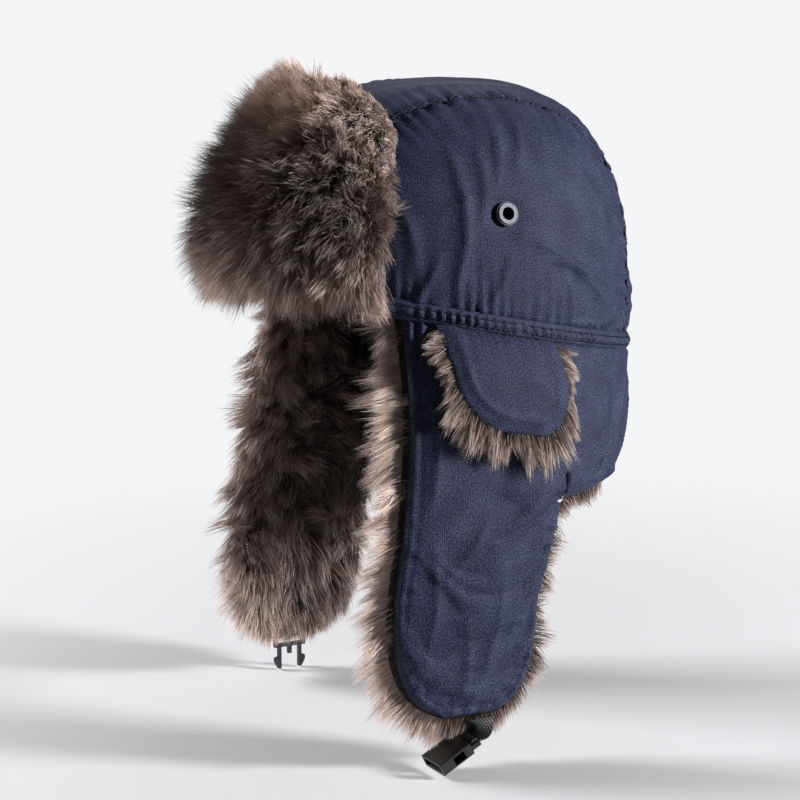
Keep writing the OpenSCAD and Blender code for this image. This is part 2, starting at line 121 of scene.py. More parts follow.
studio = {
    "floorSize": 8,
    "floorColour": "#cfcfd2",
    "floorFade": (0.12, 0.7),  # over what distances the floor turns into the backdrop
    "backdrop": 1.0,        # how bright the backdrop looks
    "fill": 0.04,           # how much light comes from all round
    "lamps": [  # place, size and power of each soft box, all aimed at the hat
        ((1.35, 1.4, 0.5), 0.35, 72),
        ((-1.0, -1.3, 0.8), 0.6, 42),
        ((0.9, -1.6, 0.3), 1.2, 0.5),
        ((-1.3, 0.9, 1.2), 1.2, 4),
    ],
}


def addStudio():
    bpy.ops.mesh.primitive_plane_add(size=studio["floorSize"], location=(0, 0, cadBox[0].z - 1 * mm))
    floor = bpy.context.object
    floor.name = "floor"
    floor.data.materials.append(paintedBoard())
    world = bpy.data.worlds.new("studio")
    world.use_nodes = True
    tree = world.node_tree
    seen = addNode(tree, "LightPath").outputs["Is Camera Ray"]
    strength = addNode(tree, "MapRange",
                       {"Value": seen, "To Min": studio["fill"], "To Max": studio["backdrop"]})
    tree.nodes["Background"].inputs["Color"].default_value = linear("#f4f5f7")
    tree.links.new(strength.outputs["Result"], tree.nodes["Background"].inputs["Strength"])
    bpy.context.scene.world = world
    bpy.context.scene.view_settings.view_transform = "Standard"
    for place, size, power in studio["lamps"]:
        data = bpy.data.lights.new("softbox", "AREA")
        data.size, data.energy = size, power
        lamp = bpy.data.objects.new("softbox", data)
        bpy.context.scene.collection.objects.link(lamp)
        lamp.location = place
        lamp.rotation_euler = (Vector((0, 0, -0.03)) - Vector(place)).to_track_quat("-Z", "Y").to_euler()


def linear(hexColour):
    parts = [int(hexColour[i:i + 2], 16) / 255 for i in (1, 3, 5)]
    return [p / 12.92 if p <= 0.04045 else ((p + 0.055) / 1.055) ** 2.4 for p in parts] + [1]


# feeds gives each input's value or the socket that feeds it, and stops the colours of a ramp
def addNode(tree, kind, feeds=None, stops=None, **settings):
    node = tree.nodes.new("ShaderNode" + kind)
    for name, value in settings.items():
        setattr(node, name, value)
    for socket, source in (feeds or {}).items():
        if isinstance(source, bpy.types.NodeSocket):
            tree.links.new(source, node.inputs[socket])
        else:
            node.inputs[socket].default_value = source
    for i, (place, colour) in enumerate(stops or []):
        point = node.color_ramp.elements[i] if i < 2 else node.color_ramp.elements.new(place)
        point.position, point.color = place, linear(colour)
    return node


def newMaterial(name, **values):
    material = bpy.data.materials.new(name)
    material.use_nodes = True
    tree = material.node_tree
    shader = tree.nodes["Principled BSDF"]
    for socket, value in values.items():
        shader.inputs[socket.replace("_", " ")].default_value = value
    return material, tree, shader


def colourAndBump(tree, shader, colour, height, strength, depth):
    tree.links.new(colour, shader.inputs["Base Color"])
    bump = addNode(tree, "Bump", {"Height": height, "Strength": strength, "Distance": depth})
    tree.links.new(bump.outputs["Normal"], shader.inputs["Normal"])


def paintedBoard():  # a sheet of matt white board, which gives soft shadows and no pattern
    material, tree, shader = newMaterial("matt_white_board", Roughness=0.9)
    shader.inputs["Base Color"].default_value = linear(studio["floorColour"])
    place = addNode(tree, "TexCoord").outputs["Object"]
    away = addNode(tree, "VectorMath", {0: place}, operation="LENGTH").outputs["Value"]
    near, far = studio["floorFade"]
    share = addNode(tree, "MapRange", {"Value": away, "From Min": near, "From Max": far},
                    interpolation_type="SMOOTHSTEP")
    seen = addNode(tree, "LightPath").outputs["Is Camera Ray"]
    glow = addNode(tree, "Math", {0: seen, 1: studio["backdrop"]}, operation="MULTIPLY")
    backdrop = addNode(tree, "Emission", {"Color": linear("#f4f5f7"), "Strength": glow.outputs[0]})
    mix = addNode(tree, "MixShader",
                  {0: share.outputs["Result"], 1: shader.outputs[0], 2: backdrop.outputs[0]})
    tree.links.new(mix.outputs[0], tree.nodes["Material Output"].inputs["Surface"])
    return material


nylon = {
    "dark": "#121526", "mid": "#272c43", "light": "#464c6a",
    "yarn": 0.9 * mm,       # the real yarns are 0.25 mm apart, drawn this coarse so that they show
    "cloud": 14 * mm,       # slow changes of shade where the cloth has rubbed
}


def wovenNylon():  # brushed plain-weave nylon: a heathered, slightly soft face with a low sheen
    material, tree, shader = newMaterial(
        "brushed_woven_nylon", Roughness=0.62, Specular_IOR_Level=0.16, Sheen_Weight=0.03,
        Sheen_Roughness=0.4)
    place = addNode(tree, "UVMap", uv_map="clothPlace").outputs["UV"]
    fleck = addNode(tree, "TexNoise", {"Vector": place, "Scale": 1 / nylon["yarn"], "Detail": 3,
                                       "Roughness": 0.7})
    cloud = addNode(tree, "TexNoise", {"Vector": place, "Scale": 1 / nylon["cloud"], "Detail": 2})
    turned = addNode(tree, "Mapping", {"Vector": place, "Rotation": (0, 0, math.radians(90))})
    warp = addNode(tree, "TexWave", {"Vector": place, "Scale": 0.32 / nylon["yarn"], "Distortion": 2.5,
                                     "Detail": 1, "Detail Scale": 2})
    weft = addNode(tree, "TexWave", {"Vector": turned.outputs["Vector"], "Scale": 0.32 / nylon["yarn"],
                                     "Distortion": 2.5, "Detail": 1, "Detail Scale": 2})
    weave = addNode(tree, "Math", {0: warp.outputs["Fac"], 1: weft.outputs["Fac"]}, operation="MULTIPLY")
    mixed = addNode(tree, "Math", {0: fleck.outputs["Fac"], 1: 0.86, 2: 0.0}, operation="MULTIPLY_ADD")
    worn = addNode(tree, "Math", {0: cloud.outputs["Fac"], 1: 0.14, 2: mixed.outputs[0]},
                   operation="MULTIPLY_ADD")
    colour = addNode(tree, "ValToRGB", {"Fac": worn.outputs[0]},
                     stops=[(0.39, nylon["dark"]), (0.62, nylon["light"]), (0.5, nylon["mid"])])
    grain = addNode(tree, "Math", {0: weave.outputs[0], 1: fleck.outputs["Fac"]}, operation="ADD")
    colourAndBump(tree, shader, colour.outputs["Color"], grain.outputs[0], 0.45, 0.35 * mm)
    return material


def darkThreadAndSeamShade():  # bonded polyester thread, a shade darker than the cloth, with a waxed gleam; its near-black on the crown's seam cord is painted shade in the seam's valley
    material, tree, shader = newMaterial("polyester_thread_and_seam_shade", Roughness=0.5, Specular_IOR_Level=0.2)
    place = addNode(tree, "TexCoord").outputs["Object"]
    twist = addNode(tree, "TexNoise", {"Vector": place, "Scale": 1 / (0.5 * mm)})
    colour = addNode(tree, "ValToRGB", {"Fac": twist.outputs["Fac"]},
                     stops=[(0.3, "#07080e"), (0.7, "#10121d")])
    colourAndBump(tree, shader, colour.outputs["Color"], twist.outputs["Fac"], 0.3, 0.1 * mm)
    return material


def quiltedSatin():  # black polyester lining satin: long floats give a broad soft gleam along the weave
    material, tree, shader = newMaterial("lining_satin", Roughness=0.38, Anisotropic=0.4)
    place = addNode(tree, "UVMap", uv_map="clothPlace").outputs["UV"]
    rib = addNode(tree, "TexWave", {"Vector": place, "Scale": 0.3 / (0.7 * mm), "Distortion": 1.5})
    shade = addNode(tree, "TexNoise", {"Vector": place, "Scale": 1 / (9 * mm)})
    colour = addNode(tree, "ValToRGB", {"Fac": shade.outputs["Fac"]},
                     stops=[(0.3, "#141418"), (0.7, "#26262e")])
    colourAndBump(tree, shader, colour.outputs["Color"], rib.outputs["Fac"], 0.15, 0.1 * mm)
    return material


def battingFelt(name, low, high, fibre):  # matted polyester fibre, matt and slightly lumpy
    material, tree, shader = newMaterial(name, Roughness=0.95)
    place = addNode(tree, "TexCoord").outputs["Object"]
    lump = addNode(tree, "TexNoise", {"Vector": place, "Scale": 1 / (6 * mm), "Detail": 3})
    hair = addNode(tree, "TexNoise", {"Vector": place, "Scale": 1 / fibre, "Detail": 4, "Distortion": 2})
    both = addNode(tree, "Math", {0: lump.outputs["Fac"], 1: hair.outputs["Fac"]}, operation="MULTIPLY")
    colour = addNode(tree, "ValToRGB", {"Fac": both.outputs[0]}, stops=[(0.12, low), (0.4, high)])
    colourAndBump(tree, shader, colour.outputs["Color"], hair.outputs["Fac"], 0.6, 0.5 * mm)
    return material


def knittedElastic():  # white knitted elastic, ribbed along its length
    material, tree, shader = newMaterial("knitted_elastic", Roughness=0.8)
    place = addNode(tree, "TexCoord").outputs["Object"]
    rib = addNode(tree, "TexWave", {"Vector": place, "Scale": 0.3 / (1 * mm)}, bands_direction="Z")
    colour = addNode(tree, "ValToRGB", {"Fac": rib.outputs["Fac"]}, stops=[(0, "#b9b9b4"), (1, "#e6e6e0")])
    colourAndBump(tree, shader, colour.outputs["Color"], rib.outputs["Fac"], 0.5, 0.3 * mm)
    return material


def ribbedWebbing():  # black polypropylene webbing, with a coarse rib across and a dull gleam
    material, tree, shader = newMaterial("polypropylene_webbing", Roughness=0.55)
    place = addNode(tree, "TexCoord").outputs["Object"]
    rib = addNode(tree, "TexWave", {"Vector": place, "Scale": 0.3 / (0.9 * mm), "Distortion": 0.6},
                  bands_direction="DIAGONAL")
    fleck = addNode(tree, "TexNoise", {"Vector": place, "Scale": 1 / (0.6 * mm)})
    both = addNode(tree, "Math", {0: rib.outputs["Fac"], 1: fleck.outputs["Fac"]}, operation="MULTIPLY")
    colour = addNode(tree, "ValToRGB", {"Fac": both.outputs[0]}, stops=[(0.1, "#0b0b0d"), (0.6, "#24252b")])
    colourAndBump(tree, shader, colour.outputs["Color"], both.outputs[0], 0.7, 0.4 * mm)
    return material


def mouldedAcetal():  # black acetal, moulded with a fine spark-eroded grain, rubbed smoother on high parts
    material, tree, shader = newMaterial("moulded_acetal", Roughness=0.4, IOR=1.48)
    place = addNode(tree, "TexCoord").outputs["Object"]
    grain = addNode(tree, "TexNoise", {"Vector": place, "Scale": 1 / (0.4 * mm), "Detail": 2})
    rub = addNode(tree, "TexNoise", {"Vector": place, "Scale": 1 / (5 * mm)})
    colour = addNode(tree, "ValToRGB", {"Fac": rub.outputs["Fac"]},
                     stops=[(0.3, "#0d0d10"), (0.75, "#1d1d22")])
    gloss = addNode(tree, "MapRange", {"Value": rub.outputs["Fac"], "To Min": 0.34, "To Max": 0.5})
    tree.links.new(gloss.outputs["Result"], shader.inputs["Roughness"])
    colourAndBump(tree, shader, colour.outputs["Color"], grain.outputs["Fac"], 0.25, 0.08 * mm)
    return material


def nickelWithPaintedReflection():  # nickel-plated brass with a satin finish, faintly marked by handling; on the eyelet its light face over the black collar is painted reflection, standing for the light that the top face reflects
    material, tree, shader = newMaterial("satin_nickel_and_painted_reflection", Roughness=0.42, Metallic=0.85)
    place = addNode(tree, "TexCoord").outputs["Object"]
    mark = addNode(tree, "TexNoise", {"Vector": place, "Scale": 1 / (1.2 * mm), "Detail": 4})
    colour = addNode(tree, "ValToRGB", {"Fac": mark.outputs["Fac"]},
                     stops=[(0.3, "#4a4a52"), (0.7, "#666670")])
    gloss = addNode(tree, "MapRange", {"Value": mark.outputs["Fac"], "To Min": 0.36, "To Max": 0.52})
    tree.links.new(gloss.outputs["Result"], shader.inputs["Roughness"])
    colourAndBump(tree, shader, colour.outputs["Color"], mark.outputs["Fac"], 0.12, 0.05 * mm)
    return material


def blackEnamel():  # stoved black enamel on the eyelet's collar, a little orange-peeled
    material, tree, shader = newMaterial("black_enamel", Roughness=0.35, Coat_Weight=0.2)
    place = addNode(tree, "TexCoord").outputs["Object"]
    peel = addNode(tree, "TexNoise", {"Vector": place, "Scale": 1 / (0.8 * mm)})
    colour = addNode(tree, "ValToRGB", {"Fac": peel.outputs["Fac"]},
                     stops=[(0.3, "#0e0e13"), (0.7, "#1b1b22")])
    colourAndBump(tree, shader, colour.outputs["Color"], peel.outputs["Fac"], 0.2, 0.05 * mm)
    return material


fur = {  # shades from root to tip, of the dark and of the frosted hairs
    "darkHair": [(0.0, "#150d0b"), (1.0, "#6d564e"), (0.6, "#33231e")],
    "frostedHair": [(0.0, "#33241f"), (1.0, "#fbeae0"), (0.4, "#8a7268"), (0.72, "#d2bbb0")],
    "hairWidth": 0.3 * mm,  # real guard hairs are 0.1 mm, drawn this wide so that they cover the backing
}


def frostedPile():  # modacrylic long pile: dark roots, and pale tips on the frosted hairs
    material, tree, shader = newMaterial(
        "frosted_long_pile", Roughness=0.55, Sheen_Weight=0.15, Sheen_Roughness=0.4)
    place = addNode(tree, "UVMap", uv_map="OFBake").outputs["UV"]
    parts = addNode(tree, "SeparateXYZ", {"Vector": place})
    dark = addNode(tree, "ValToRGB", {"Fac": parts.outputs["Y"]}, stops=fur["darkHair"])
    frosted = addNode(tree, "ValToRGB", {"Fac": parts.outputs["Y"]}, stops=fur["frostedHair"])
    # X mixes dark and frosted hair, and where the pile sets it by place it also holds painted light and
    # shade; Y runs from root to tip, lifted on some hairs as painted light
    mix = addNode(tree, "Mix", {0: parts.outputs["X"], 6: dark.outputs["Color"], 7: frosted.outputs["Color"]},
                  data_type="RGBA")
    tree.links.new(mix.outputs[2], shader.inputs["Base Color"])
    return material


def pileBacking():  # the dense short underfur and its knitted ground, nearly black between the guard hairs
    material, tree, shader = newMaterial("dense_underfur", Roughness=0.9)
    place = addNode(tree, "TexCoord").outputs["Object"]
    stretched = addNode(tree, "Mapping", {"Vector": place, "Scale": (1, 1, 0.25)})
    tuft = addNode(tree, "TexNoise", {"Vector": stretched.outputs["Vector"], "Scale": 1 / (1.4 * mm),
                                      "Detail": 4})
    colour = addNode(tree, "ValToRGB", {"Fac": tuft.outputs["Fac"]},
                     stops=[(0.35, "#120e0c"), (0.75, "#33271f")])
    colourAndBump(tree, shader, colour.outputs["Color"], tuft.outputs["Fac"], 1.0, 2 * mm)
    return material


# The surfaces of the hat, as the frame has them: out is the distance outside the shell
def crownAt(way, out):
    level = np.hypot(way[..., 0] / (crown["halfWidth"] + out), way[..., 1] / (crown["halfLength"] + out))
    rise = np.maximum(0, way[..., 2]) / (crown["height"] + out)
    n = crown["square"]
    return way * ((level ** n + rise ** n) ** (-1 / n))[..., None]


def crownShare(z):
    n = crown["square"]
    return (1 - np.minimum(1, np.maximum(0, z) / crown["height"]) ** n) ** (1 / n)


def seamWay(q, out):
    turn = math.pi * q - math.atan(crown["bandFall"])
    straight = np.stack([0 * turn, np.cos(turn), np.sin(turn)], -1)
    spread = crown["panelHalfTop"] + (crown["panelHalfBase"] - crown["panelHalfTop"]) * np.abs(2 * q - 1) ** 3
    length = np.linalg.norm(crownAt(straight, 0), axis=-1)
    return straight + ((spread + out) / length)[..., None] * np.array([1, 0, 0])


def seamPoint(q, out):
    return crownAt(seamWay(q, out), 0)


def bandPoint(angle):
    y = crown["halfLength"] * np.sin(angle)
    return np.stack([crown["halfWidth"] * np.cos(angle), y, -crown["bandFall"] * y], -1)


def sidePanel(u, v, out=0):
    gap, corner = crown["sewnGap"], crown["seamCorner"]
    foot = seamPoint(np.array(0.0), gap)
    angle = math.atan2(foot[1] / crown["halfLength"], foot[0] / crown["halfWidth"])
    one = np.ones_like(u)
    low = bandPoint(angle * (1 - 2 * u))
    high = seamPoint(corner + (1 - 2 * corner) * u, gap)
    rear = seamPoint(corner * v, gap)
    fore = seamPoint(1 - corner * v, gap)
    u, v = u[..., None], v[..., None]
    way = ((1 - v) * low + v * high + (1 - u) * rear + u * fore
           - (1 - v) * ((1 - u) * bandPoint(angle * one) + u * bandPoint(-angle * one))
           - v * ((1 - u) * seamPoint(corner * one, gap) + u * seamPoint((1 - corner) * one, gap)))
    return crownAt(way, out)


def centrePanel(u, v, out=0):
    way = seamWay(v, -crown["sewnGap"])
    way[..., 0] *= 2 * u - 1
    return crownAt(way, out)


def bandAt(angle, out, down):
    length = crown["halfLength"] + out
    return np.stack([(crown["halfWidth"] + out) * np.cos(angle), length * np.sin(angle),
                     -crown["bandFall"] * length * np.sin(angle) - down], -1)


def sunk(z):
    return np.maximum(0, -z)


def flared(z):
    return np.minimum(1, sunk(z) / (skirt["depth"] + 15 * mm))


def sideX(z):
    return crown["halfWidth"] + skirt["flare"] * flared(z) * (skirt["depth"] + 15 * mm)


def flatness(y, z):
    return np.where(y > 0, 2, 2 + skirt["flatness"] * flared(z))


def lengthY(y, z):
    tuck = skirt["napeTuck"] * np.minimum(1, sunk(z) / skirt["depth"]) ** 4
    return crown["halfLength"] - np.where(y > 0, tuck, 0)


def earX(y, z, out):
    n = flatness(y, z)
    return (sideX(z) + out) * np.maximum(0, 1 - (np.abs(y) / (lengthY(y, z) + out)) ** n) ** (1 / n)


def skirtAt(angle, z, out):
    n = flatness(np.sin(angle), z)
    power = lambda b: np.sign(b) * np.abs(b) ** (2 / n)
    return np.stack([(sideX(z) + out) * power(np.cos(angle)),
                     (lengthY(np.sin(angle), z) + out) * power(np.sin(angle)), z + 0 * angle], -1)


def bandFoot(y):
    return -crown["bandFall"] * y - crown["bandHeight"] - crown["seamGap"]


def frontEdgeY(z):
    return -skirt["frontEdge"] - skirt["frontSweep"] * np.minimum(1, sunk(z) / skirt["depth"]) ** 2


flapRear = -flap["fore"] + flap["halfWidth"]


def skirtFore(u, v, out, past=0):  # the skirt's part above the flap: u from the front edge back, v down
    yLow = frontEdgeY(-skirt["depth"] * v) - past
    y = yLow + (flapRear - yLow) * u
    top = bandFoot(y)
    z = top + (-skirt["depth"] - top) * v
    yLow = frontEdgeY(z) - past
    y = yLow + (flapRear - yLow) * u
    return np.stack([earX(y, z, out), y, z], -1)


def skirtRear(u, v, out, toAngle):  # from behind the flap to an angle round the nape
    start = math.asin(flapRear / crown["halfLength"])
    angle = start + (toAngle - start) * u
    top = bandFoot(crown["halfLength"] * np.sin(angle))
    z = top + (-skirt["depth"] - top) * v
    point = skirtAt(angle, z, out)
    first = np.full_like(z, flapRear)
    rear = np.stack([earX(first, z, out), first, z], -1)  # the shared edge is the same line in both parts
    return np.where((u <= 0)[..., None], rear, point)


def flapAt(u, v, out, past=0):  # v from the fold to the foot
    s = 0.985 * v
    lower = np.sin(np.pi / 2 * np.minimum(1, s / 0.6))
    half = (flap["halfWidth"] - flap["narrowing"] * lower) * np.sqrt(1 - s ** 7)
    y = -flap["fore"] - flap["sweep"] * lower + (2 * u - 1) * half + past * (2 * u - 1 if past else 0)
    y = np.where(v <= 0, frontEdgeY(np.full_like(y, -skirt["depth"])) - past
                 + (flapRear + skirt["frontEdge"] + skirt["frontSweep"] + past) * u, y)
    z = -skirt["depth"] - flap["length"] * s
    return np.stack([earX(y, z, out), y, z], -1)


def coverAt(u, v, out):  # v from the seam to the tip
    s = 0.985 * v
    y = -cover["fore"] + cover["lean"] * s + (2 * u - 1) * cover["halfWidth"] * np.sqrt(1 - s ** 4.5)
    z = bandFoot(y) - crown["seamGap"] - cover["length"] * s
    filled = np.minimum(1, s / 0.4) ** 0.7
    return np.stack([earX(y, z, out * filled), y, z], -1)


def frontShare(z):
    n, free = crown["square"], front["free"] / crown["height"]
    lean = free ** (n - 1) / crown["height"] * (1 - free ** n) ** (1 / n - 1)
    straight = crownShare(np.array(front["free"])) - lean * (z - front["free"])
    return np.where(z < front["free"], crownShare(z), straight)


def frontAt(u, v, out):
    p = 2 * u - 1
    span = front["spanBase"] + (front["spanTop"] - front["spanBase"]) * np.sin(np.pi / 2 * v)
    angle = np.radians(-90 + p * span)
    low = -crown["bandFall"] * crown["halfLength"] * np.sin(angle) + crown["bandProud"]
    high = low + (front["top"] - low) * np.sqrt(1 - 0.42 * np.abs(p) ** 5)
    z = low + (high - low) * v
    share = frontShare(z)
    return np.stack([(crown["halfWidth"] * share + out) * np.cos(angle),
                     (crown["halfLength"] * share + out) * np.sin(angle), z], -1)


def mirrored(points):
    return points * np.array([-1, 1, 1])


def activate(piece):
    bpy.ops.object.select_all(action="DESELECT")
    piece.select_set(True)
    bpy.context.view_layer.objects.active = piece


def applyModifiers(piece):
    activate(piece)
    for modifier in list(piece.modifiers):
        bpy.ops.object.modifier_apply(modifier=modifier.name)


def meshFrom(name, points, faces, material):
    mesh = bpy.data.meshes.new(name)
    mesh.from_pydata(points, [], faces)
    mesh.update()
    piece = bpy.data.objects.new(name, mesh)
    bpy.context.scene.collection.objects.link(piece)
    mesh.materials.append(material)
    mesh.polygons.foreach_set("use_smooth", [True] * len(mesh.polygons))
    return piece


def cornersOf(mesh):  # the point at each corner of its faces
    corners = np.zeros(len(mesh.loops), np.int32)
    mesh.loops.foreach_get("vertex_index", corners)
    return corners


def layFlat(mesh, name, places):  # a UV map with a place for each corner
    mesh.uv_layers.new(name=name).data.foreach_set("uv", places.ravel())


def turnOutward(piece):  # all its faces face out
    activate(piece)
    bpy.ops.object.mode_set(mode="EDIT")
    bpy.ops.mesh.select_all(action="SELECT")
    bpy.ops.mesh.normals_make_consistent(inside=False)
    bpy.ops.object.mode_set(mode="OBJECT")


samePoint = 2e-6  # points of two patches this close, in metres, are one


def steps(across, down):
    return np.meshgrid(np.linspace(0, 1, across + 1), np.linspace(0, 1, down + 1))


# Joins patches of points where their edges meet. layout gives each point's place on the flat cloth,
# for its weave
def clothFrom(name, patches, layout, material):
    points, faces, count = [], [], 0
    for patch in patches:
        rows, across = patch.shape[:2]
        number = np.arange(rows * across).reshape(rows, across) + count
        quads = np.stack([number[:-1, :-1], number[:-1, 1:], number[1:, 1:], number[1:, :-1]], -1)
        faces.append(quads.reshape(-1, 4))
        points.append(patch.reshape(-1, 3))
        count += rows * across
    points, faces = np.concatenate(points), np.concatenate(faces)
    first, back = np.unique(np.round(points / samePoint).astype(np.int64), axis=0,
                            return_index=True, return_inverse=True)[1:]
    points, faces = points[first], back.reshape(-1)[faces]
    sides = np.cross(points[faces[:, 2]] - points[faces[:, 0]], points[faces[:, 3]] - points[faces[:, 1]])
    centre = points[faces].mean(1)
    if (sides * (centre * [1, 1, 0.3])).sum() < 0:
        faces = faces[:, ::-1]
    piece = meshFrom(name, points.tolist(), faces.tolist(), material)
    layFlat(piece.data, "clothPlace", layout(points)[cornersOf(piece.data)])
    return piece


def pointsOf(piece):
    points = np.zeros(len(piece.data.vertices) * 3)
    piece.data.vertices.foreach_get("co", points)
    return points.reshape(-1, 3)


def normalsOf(piece):
    piece.data.update()
    normals = np.zeros(len(piece.data.vertices) * 3, np.float32)
    piece.data.vertex_normals.foreach_get("vector", normals)
    return normals.reshape(-1, 3).astype(float)


def movePoints(piece, points):
    piece.data.vertices.foreach_set("co", points.ravel())
    piece.data.update()


def thicken(piece, thickness):
    wall = piece.modifiers.new("wall", "SOLIDIFY")
    wall.thickness, wall.offset, wall.use_even_offset = thickness, -1, False
    applyModifiers(piece)


def roundHead(points):  # the cloth's flat layout: the way round the head, and the height
    around = np.arctan2(points[:, 1], points[:, 0]) * 100 * mm
    return np.stack([around, points[:, 2]], -1)


def overTop(points):  # the flat layout of the centre panel, from the forehead over to the nape
    return np.stack([points[:, 0], np.arctan2(points[:, 2], points[:, 1]) * 110 * mm], -1)


def sideways(points):  # the flat layout of what is seen from the side
    return np.stack([points[:, 1], points[:, 2]], -1)


def wander(place, step, seed):  # a smooth random number from -1 to 1 along a line
    knots = np.random.default_rng(seed).uniform(-1, 1, 4096)
    at = place / step + 2000
    low = np.floor(at).astype(int)
    t = at - low
    t = t * t * (3 - 2 * t)
    return knots[low % 4096] * (1 - t) + knots[(low + 1) % 4096] * t


def lumps(points, size, seed):
    shift = Vector((seed * 3.7, seed * 1.3, -seed * 2.1))
    return np.array([noise.noise(Vector(p) / size + shift) for p in points])


def nearest(points, line):  # distance to a line of points, and how far along the line that is
    tree = kdtree.KDTree(len(line))
    for i, p in enumerate(line):
        tree.insert(p, i)
    tree.balance()
    along = np.concatenate([[0], np.cumsum(np.linalg.norm(np.diff(line, axis=0), axis=1))])
    found = [tree.find(p) for p in points]
    return np.array([f[2] for f in found]), along[[f[1] for f in found]]


def gathers(along, away, pitch, reach, seed):  # small folds that start at a sewn line and die away from it
    phase = along / pitch + 0.8 * wander(along, 2.5 * pitch, seed)
    size = 0.55 + 0.45 * wander(along, 1.7 * pitch, seed + 1)
    return np.sin(2 * np.pi * phase) * size * np.exp(-(np.maximum(0, away) / reach) ** 1.3)


def fullness(distance, reach):  # rises from 0 at a sewn line to 1
    return 1 - np.exp(-np.maximum(0, distance) / reach)


def valley(distance, width):  # falls from 1 at a line to 0
    return np.exp(-(np.maximum(0, distance) / width) ** 2)


def creases(points, folds):  # each fold: from (y, z) to (y, z), its width and its height
    height = np.zeros(len(points))
    side = points[:, 1:3]
    for start, end, width, rise in folds:
        a, b = np.array(start) * mm, np.array(end) * mm
        along = np.clip(((side - a) @ (b - a)) / ((b - a) @ (b - a)), 0, 1)
        bend = np.array([-(b - a)[1], (b - a)[0]])
        path = a + along[:, None] * (b - a) + (0.06 * np.sin(np.pi * along))[:, None] * bend
        away = np.linalg.norm(side - path, axis=1) / (width * mm)
        fade = np.sin(np.pi * np.clip(0.08 + 0.84 * along, 0, 1)) ** 0.7
        height += 1.35 * rise * mm * fade * (np.exp(-1.4 * away ** 1.15) - 0.35 * np.exp(-(away / 2.2) ** 2))
    return height


cloth = {
    "frames": 14,
    "growth": 0.035,        # how much bigger the shell is cut than the wadding under it
    "deepest": 0.45 * mm,   # a trough stops at the wadding
    "highest": 3.2 * mm,
    "wall": 0.45 * mm,
}


# Lets the shell's cloth buckle over its wadding: its sewn edges are held and the rest is a little too large
def settle(piece, held, seed):
    rest, out = pointsOf(piece), normalsOf(piece)
    nudge = lumps(rest, 16 * mm, seed) * 0.25 * mm
    movePoints(piece, rest + out * nudge[:, None])
    group = piece.vertex_groups.new(name="sewn")
    for i in np.flatnonzero(held):
        group.add([int(i)], 1.0, "REPLACE")
    cloths = piece.modifiers.new("cloth", "CLOTH")
    rules = cloths.settings
    rules.quality, rules.mass, rules.air_damping = 5, 0.2, 4
    rules.tension_stiffness = rules.compression_stiffness = 12
    rules.shear_stiffness, rules.bending_stiffness = 6, 0.12
    rules.vertex_group_mass = "sewn"
    rules.shrink_min = -cloth["growth"]
    rules.effector_weights.gravity = 0.15
    cloths.collision_settings.use_collision = False
    scene = bpy.context.scene
    cloths.point_cache.frame_start, cloths.point_cache.frame_end = 1, cloth["frames"]
    for number in range(1, cloth["frames"] + 1):
        scene.frame_set(number)
    applyModifiers(piece)
    scene.frame_set(1)
    moved = pointsOf(piece) - rest
    rise = (moved * out).sum(1)
    slide = moved - out * rise[:, None]
    rise = np.where(rise < 0, -cloth["deepest"] * np.tanh(-rise / cloth["deepest"]),
                    cloth["highest"] * np.tanh(rise / cloth["highest"]))
    slide *= np.minimum(1, 1.5 * mm / np.maximum(1e-9, np.linalg.norm(slide, axis=1)))[:, None]
    movePoints(piece, rest + slide * 0.5 + out * rise[:, None])
    piece.vertex_groups.clear()
    print("settled", piece.name, "rise", round(rise.min() / mm, 2), round(rise.max() / mm, 2), "mm")


def stitches(name, line, out, material, gap, radius, dip=0.45, pitch=3.2 * mm):
    along = np.concatenate([[0], np.cumsum(np.linalg.norm(np.diff(line, axis=0), axis=1))])
    starts = np.arange(0.5 * pitch, along[-1] - pitch, pitch)
    at = lambda s, values: np.stack([np.interp(s, along, values[:, k]) for k in range(3)], -1)
    points, faces = [], []
    for start in starts:
        a, b = at(start, line), at(start + pitch - gap, line)
        up = at(start + pitch / 2, out)
        up /= np.linalg.norm(up)
        across = np.cross(b - a, up)
        across /= np.linalg.norm(across)
        base = len(points)
        sunkEnd = (1 - dip, 0.25 - dip)
        for share, (size, lift) in ((0, sunkEnd), (0.3, (1, 0.25)), (0.7, (1, 0.25)), (1, sunkEnd)):
            centre = a + (b - a) * share + up * radius * lift
            for turn in range(5):
                angle = 2 * math.pi * turn / 5
                points.append(centre + radius * size * (across * math.cos(angle) + up * math.sin(angle)))
        for ring in range(3):
            for turn in range(5):
                k, other = base + ring * 5 + turn, base + ring * 5 + (turn + 1) % 5
                faces.append((k, other, other + 5, k + 5))
        faces.append(tuple(base + k for k in (4, 3, 2, 1, 0)))
        faces.append(tuple(base + 15 + k for k in range(5)))
    piece = meshFrom(name, points, faces, material)
    turnOutward(piece)
    return piece


def finishPiece(piece, body, slotName, *nodes):
    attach(piece, body)
    if nodes:
        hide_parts(*nodes)


